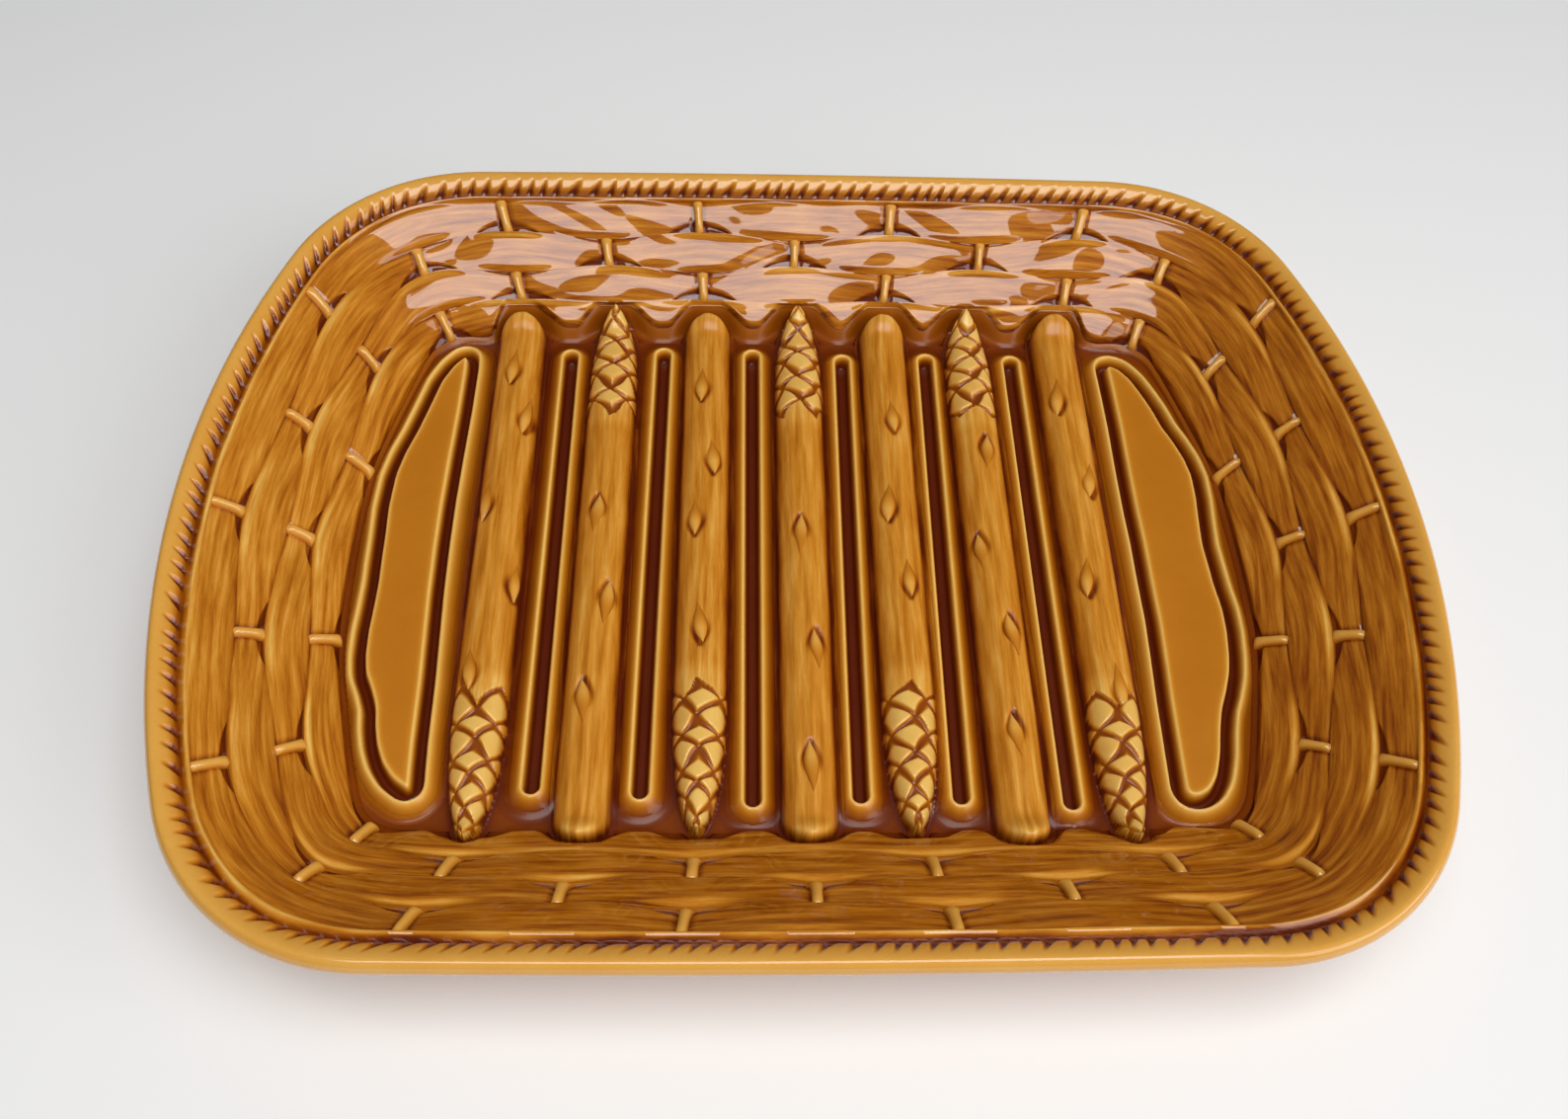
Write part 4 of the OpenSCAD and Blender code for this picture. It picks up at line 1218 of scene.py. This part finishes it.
def stakeRow(row, peg):
    bays = [b for b in range(28) if (b + row) % 2 == 0 and (row < 4 or min(abs(b - 7), abs(b - 21)) < 4)]
    bay = np.array(bays, float)
    rng = np.random.default_rng(row)
    a, b = rowEdge(row - 1, bay), rowEdge(row, bay)
    if row == 1:
        a = a + 0.03
    zero, half = np.zeros_like(bay), (a + b) / 2
    centre = wallPoint(bay, half, zero - 0.1)
    top, low = wallPoint(bay, a, zero), wallPoint(bay, b, zero)
    reach = np.linalg.norm(low - top, axis=1)
    down = (low - top) / reach[:, None]
    out = np.cross(wallPoint(bay + 0.02, half, zero) - wallPoint(bay - 0.02, half, zero), down)
    out *= np.sign(out[:, 2:3])
    out /= np.linalg.norm(out, axis=1)[:, None]
    points = []
    for i in range(len(bays)):
        lean = math.radians(stake["lean"]) * rng.uniform(-1, 1)
        along = down[i] * math.cos(lean) + np.cross(out[i], down[i]) * math.sin(lean)
        if centre[i, 1] > 70:  # on the far side the wide end lies at the rim
            along = -along
        stretch = (stake["width"] * rng.uniform(0.9, 1.12), reach[i] + stake["overlap"], stake["height"])
        points.append((centre[i], (np.cross(along, out[i]), along, out[i]), stretch))
    setOut("stakesRow%d" % row, peg, points, "stake", ["stakes_row_%d" % row])


peg = addObject(pegMesh(), "peg")
for row in (1, 2, 3, 4):
    stakeRow(row, peg)
bpy.data.objects.remove(peg)
print("stakes made")

# foot ring and underside
footRing = {
    "place": 1.085,  # share of the wall's width
    "tone": 0.36,
    "slab": ((0.045, 0.955), (3.0, 4.6)),  # shares of rim and foot in the underside's outline, its heights
    "profile": [(-2.8, 3.4), (-2.75, 2.2), (-2.5, 1.1), (-2.0, 0.4), (-1.2, 0.05), (-0.6, 0.0), (0.6, 0.0),
                (1.2, 0.05), (2.0, 0.4), (2.5, 1.1), (2.75, 2.2), (2.8, 3.4)],
}


def sweepTree():
    # a profile swept along a closed path
    tree, ins, out = shapeTree("sweep foot", [("Profile", "Object"), ("Glaze", "Material")])
    shape = setNode(tree, "GeometryNodeObjectInfo", {"Object": ins["Profile"]})["Geometry"]
    path, section = (setNode(tree, "GeometryNodeMeshToCurve", {"Mesh": mesh})[0]
                     for mesh in (ins["Geometry"], shape))
    upright = setNode(tree, "GeometryNodeSetCurveNormal", {"Curve": path}, mode="Z_UP")[0]
    sweep = setNode(tree, "GeometryNodeCurveToMesh", {"Curve": upright, "Profile Curve": section})[0]
    endTree(tree, sweep, ins["Glaze"], out)
    return tree


def loopItem(name, line):
    # a closed loop of edges, given in millimetres
    n = len(line)
    mesh = bpy.data.meshes.new(name)
    mesh.from_pydata([(x * 0.001, y * 0.001, 0) for x, y in line], [(i, (i + 1) % n) for i in range(n)], [])
    return addObject(mesh, name)


def sweptFoot():
    bay, share = stationBay[::3], footRing["place"]
    path = planPoint(rimPlan, rimShares, bay) * (1 - share) + planPoint(footPlan, footShares, bay) * share
    shape = loopItem("footProfile", np.array(footRing["profile"]) * (1, -1))  # the sweep turns Y downwards
    values = {"Profile": shape, "Glaze": materials["under"]}
    mesh = runTree(loopItem("footRing", path), sweepTree(), values, "footRing")
    bpy.data.objects.remove(shape)
    heights = [v.co.z for v in mesh.vertices]
    print("foot ring stands from", round(min(heights) * 1000, 2), "to", round(max(heights) * 1000, 2))
    store(mesh, "depth", np.full(len(mesh.vertices), footRing["tone"]))
    closeMesh(mesh)
    finishPiece(mesh, "footRing", "under", ["foot_ring"])


sweptFoot()


def floorSlab():
    (rimPart, footPart), heights = footRing["slab"]
    outline = planPoint(rimPlan, rimShares, stationBay[::4]) * rimPart
    outline = outline + planPoint(footPlan, footShares, stationBay[::4]) * footPart
    rings = np.array([[(x, y, z) for x, y in outline] for z in heights])
    mesh = shellMesh("floorUnderside", rings, np.full(rings.shape[:2], footRing["tone"]))
    finishPiece(mesh, "floorUnderside", "under", ["dish_floor"])


floorSlab()
print("foot and underside made")

# stage
stage = {
    "floor": 1.6,
    "floorColour": (0.82, 0.825, 0.82),
    "floorLift": 0.15,
    "floorRough": 0.9,
    "floorSheen": 0.1,
    "keyPlace": (0.06, -0.30, 1.04),
    "keySize": (0.90, 0.60),
    "keyPower": 8.2,
    "sidePlace": (1.6, -0.93, 1.15),
    "sideSize": (1.85, 1.5),
    "sidePower": 21.0,
    "worldColour": (0.95, 0.97, 1.0),
    "worldStrength": 0.05,
}


def panel(name):
    light = bpy.data.lights.new(name, "AREA")
    light.shape = "RECTANGLE"
    light.size, light.size_y = stage[name + "Size"]
    light.energy = stage[name + "Power"]
    item = addObject(light, name)
    item.location = stage[name + "Place"]
    item.rotation_euler = (-item.location).to_track_quat("-Z", "Y").to_euler()


def makeStage():
    mesh = bpy.data.meshes.new("floor")
    r = stage["floor"]
    mesh.from_pydata([(-r, -r, 0), (r, -r, 0), (r, r, 0), (-r, r, 0)], [], [(0, 1, 2, 3)])
    paper, tree = startMaterial("pale paper")
    paths = setNode(tree, "ShaderNodeLightPath")
    ray = mathNode(tree, "ADD", paths["Is Camera Ray"], paths["Is Glossy Ray"], paths["Is Transmission Ray"])
    fillShader(tree, {
        "Base Color": (*stage["floorColour"], 1), "Roughness": stage["floorRough"],
        "Specular IOR Level": stage["floorSheen"], "Emission Color": (1, 1, 1, 1),
        "Emission Strength": mathNode(tree, "MULTIPLY", ray, stage["floorLift"])})
    mesh.materials.append(paper)
    addObject(mesh, "floor")
    panel("key")
    panel("side")
    world = bpy.data.worlds.new("room")
    world.use_nodes = True
    back = world.node_tree.nodes["Background"]
    back.inputs["Color"].default_value = (*stage["worldColour"], 1)
    back.inputs["Strength"].default_value = stage["worldStrength"]
    bpy.context.scene.world = world
    bpy.context.scene.view_settings.view_transform = "Standard"


makeStage()
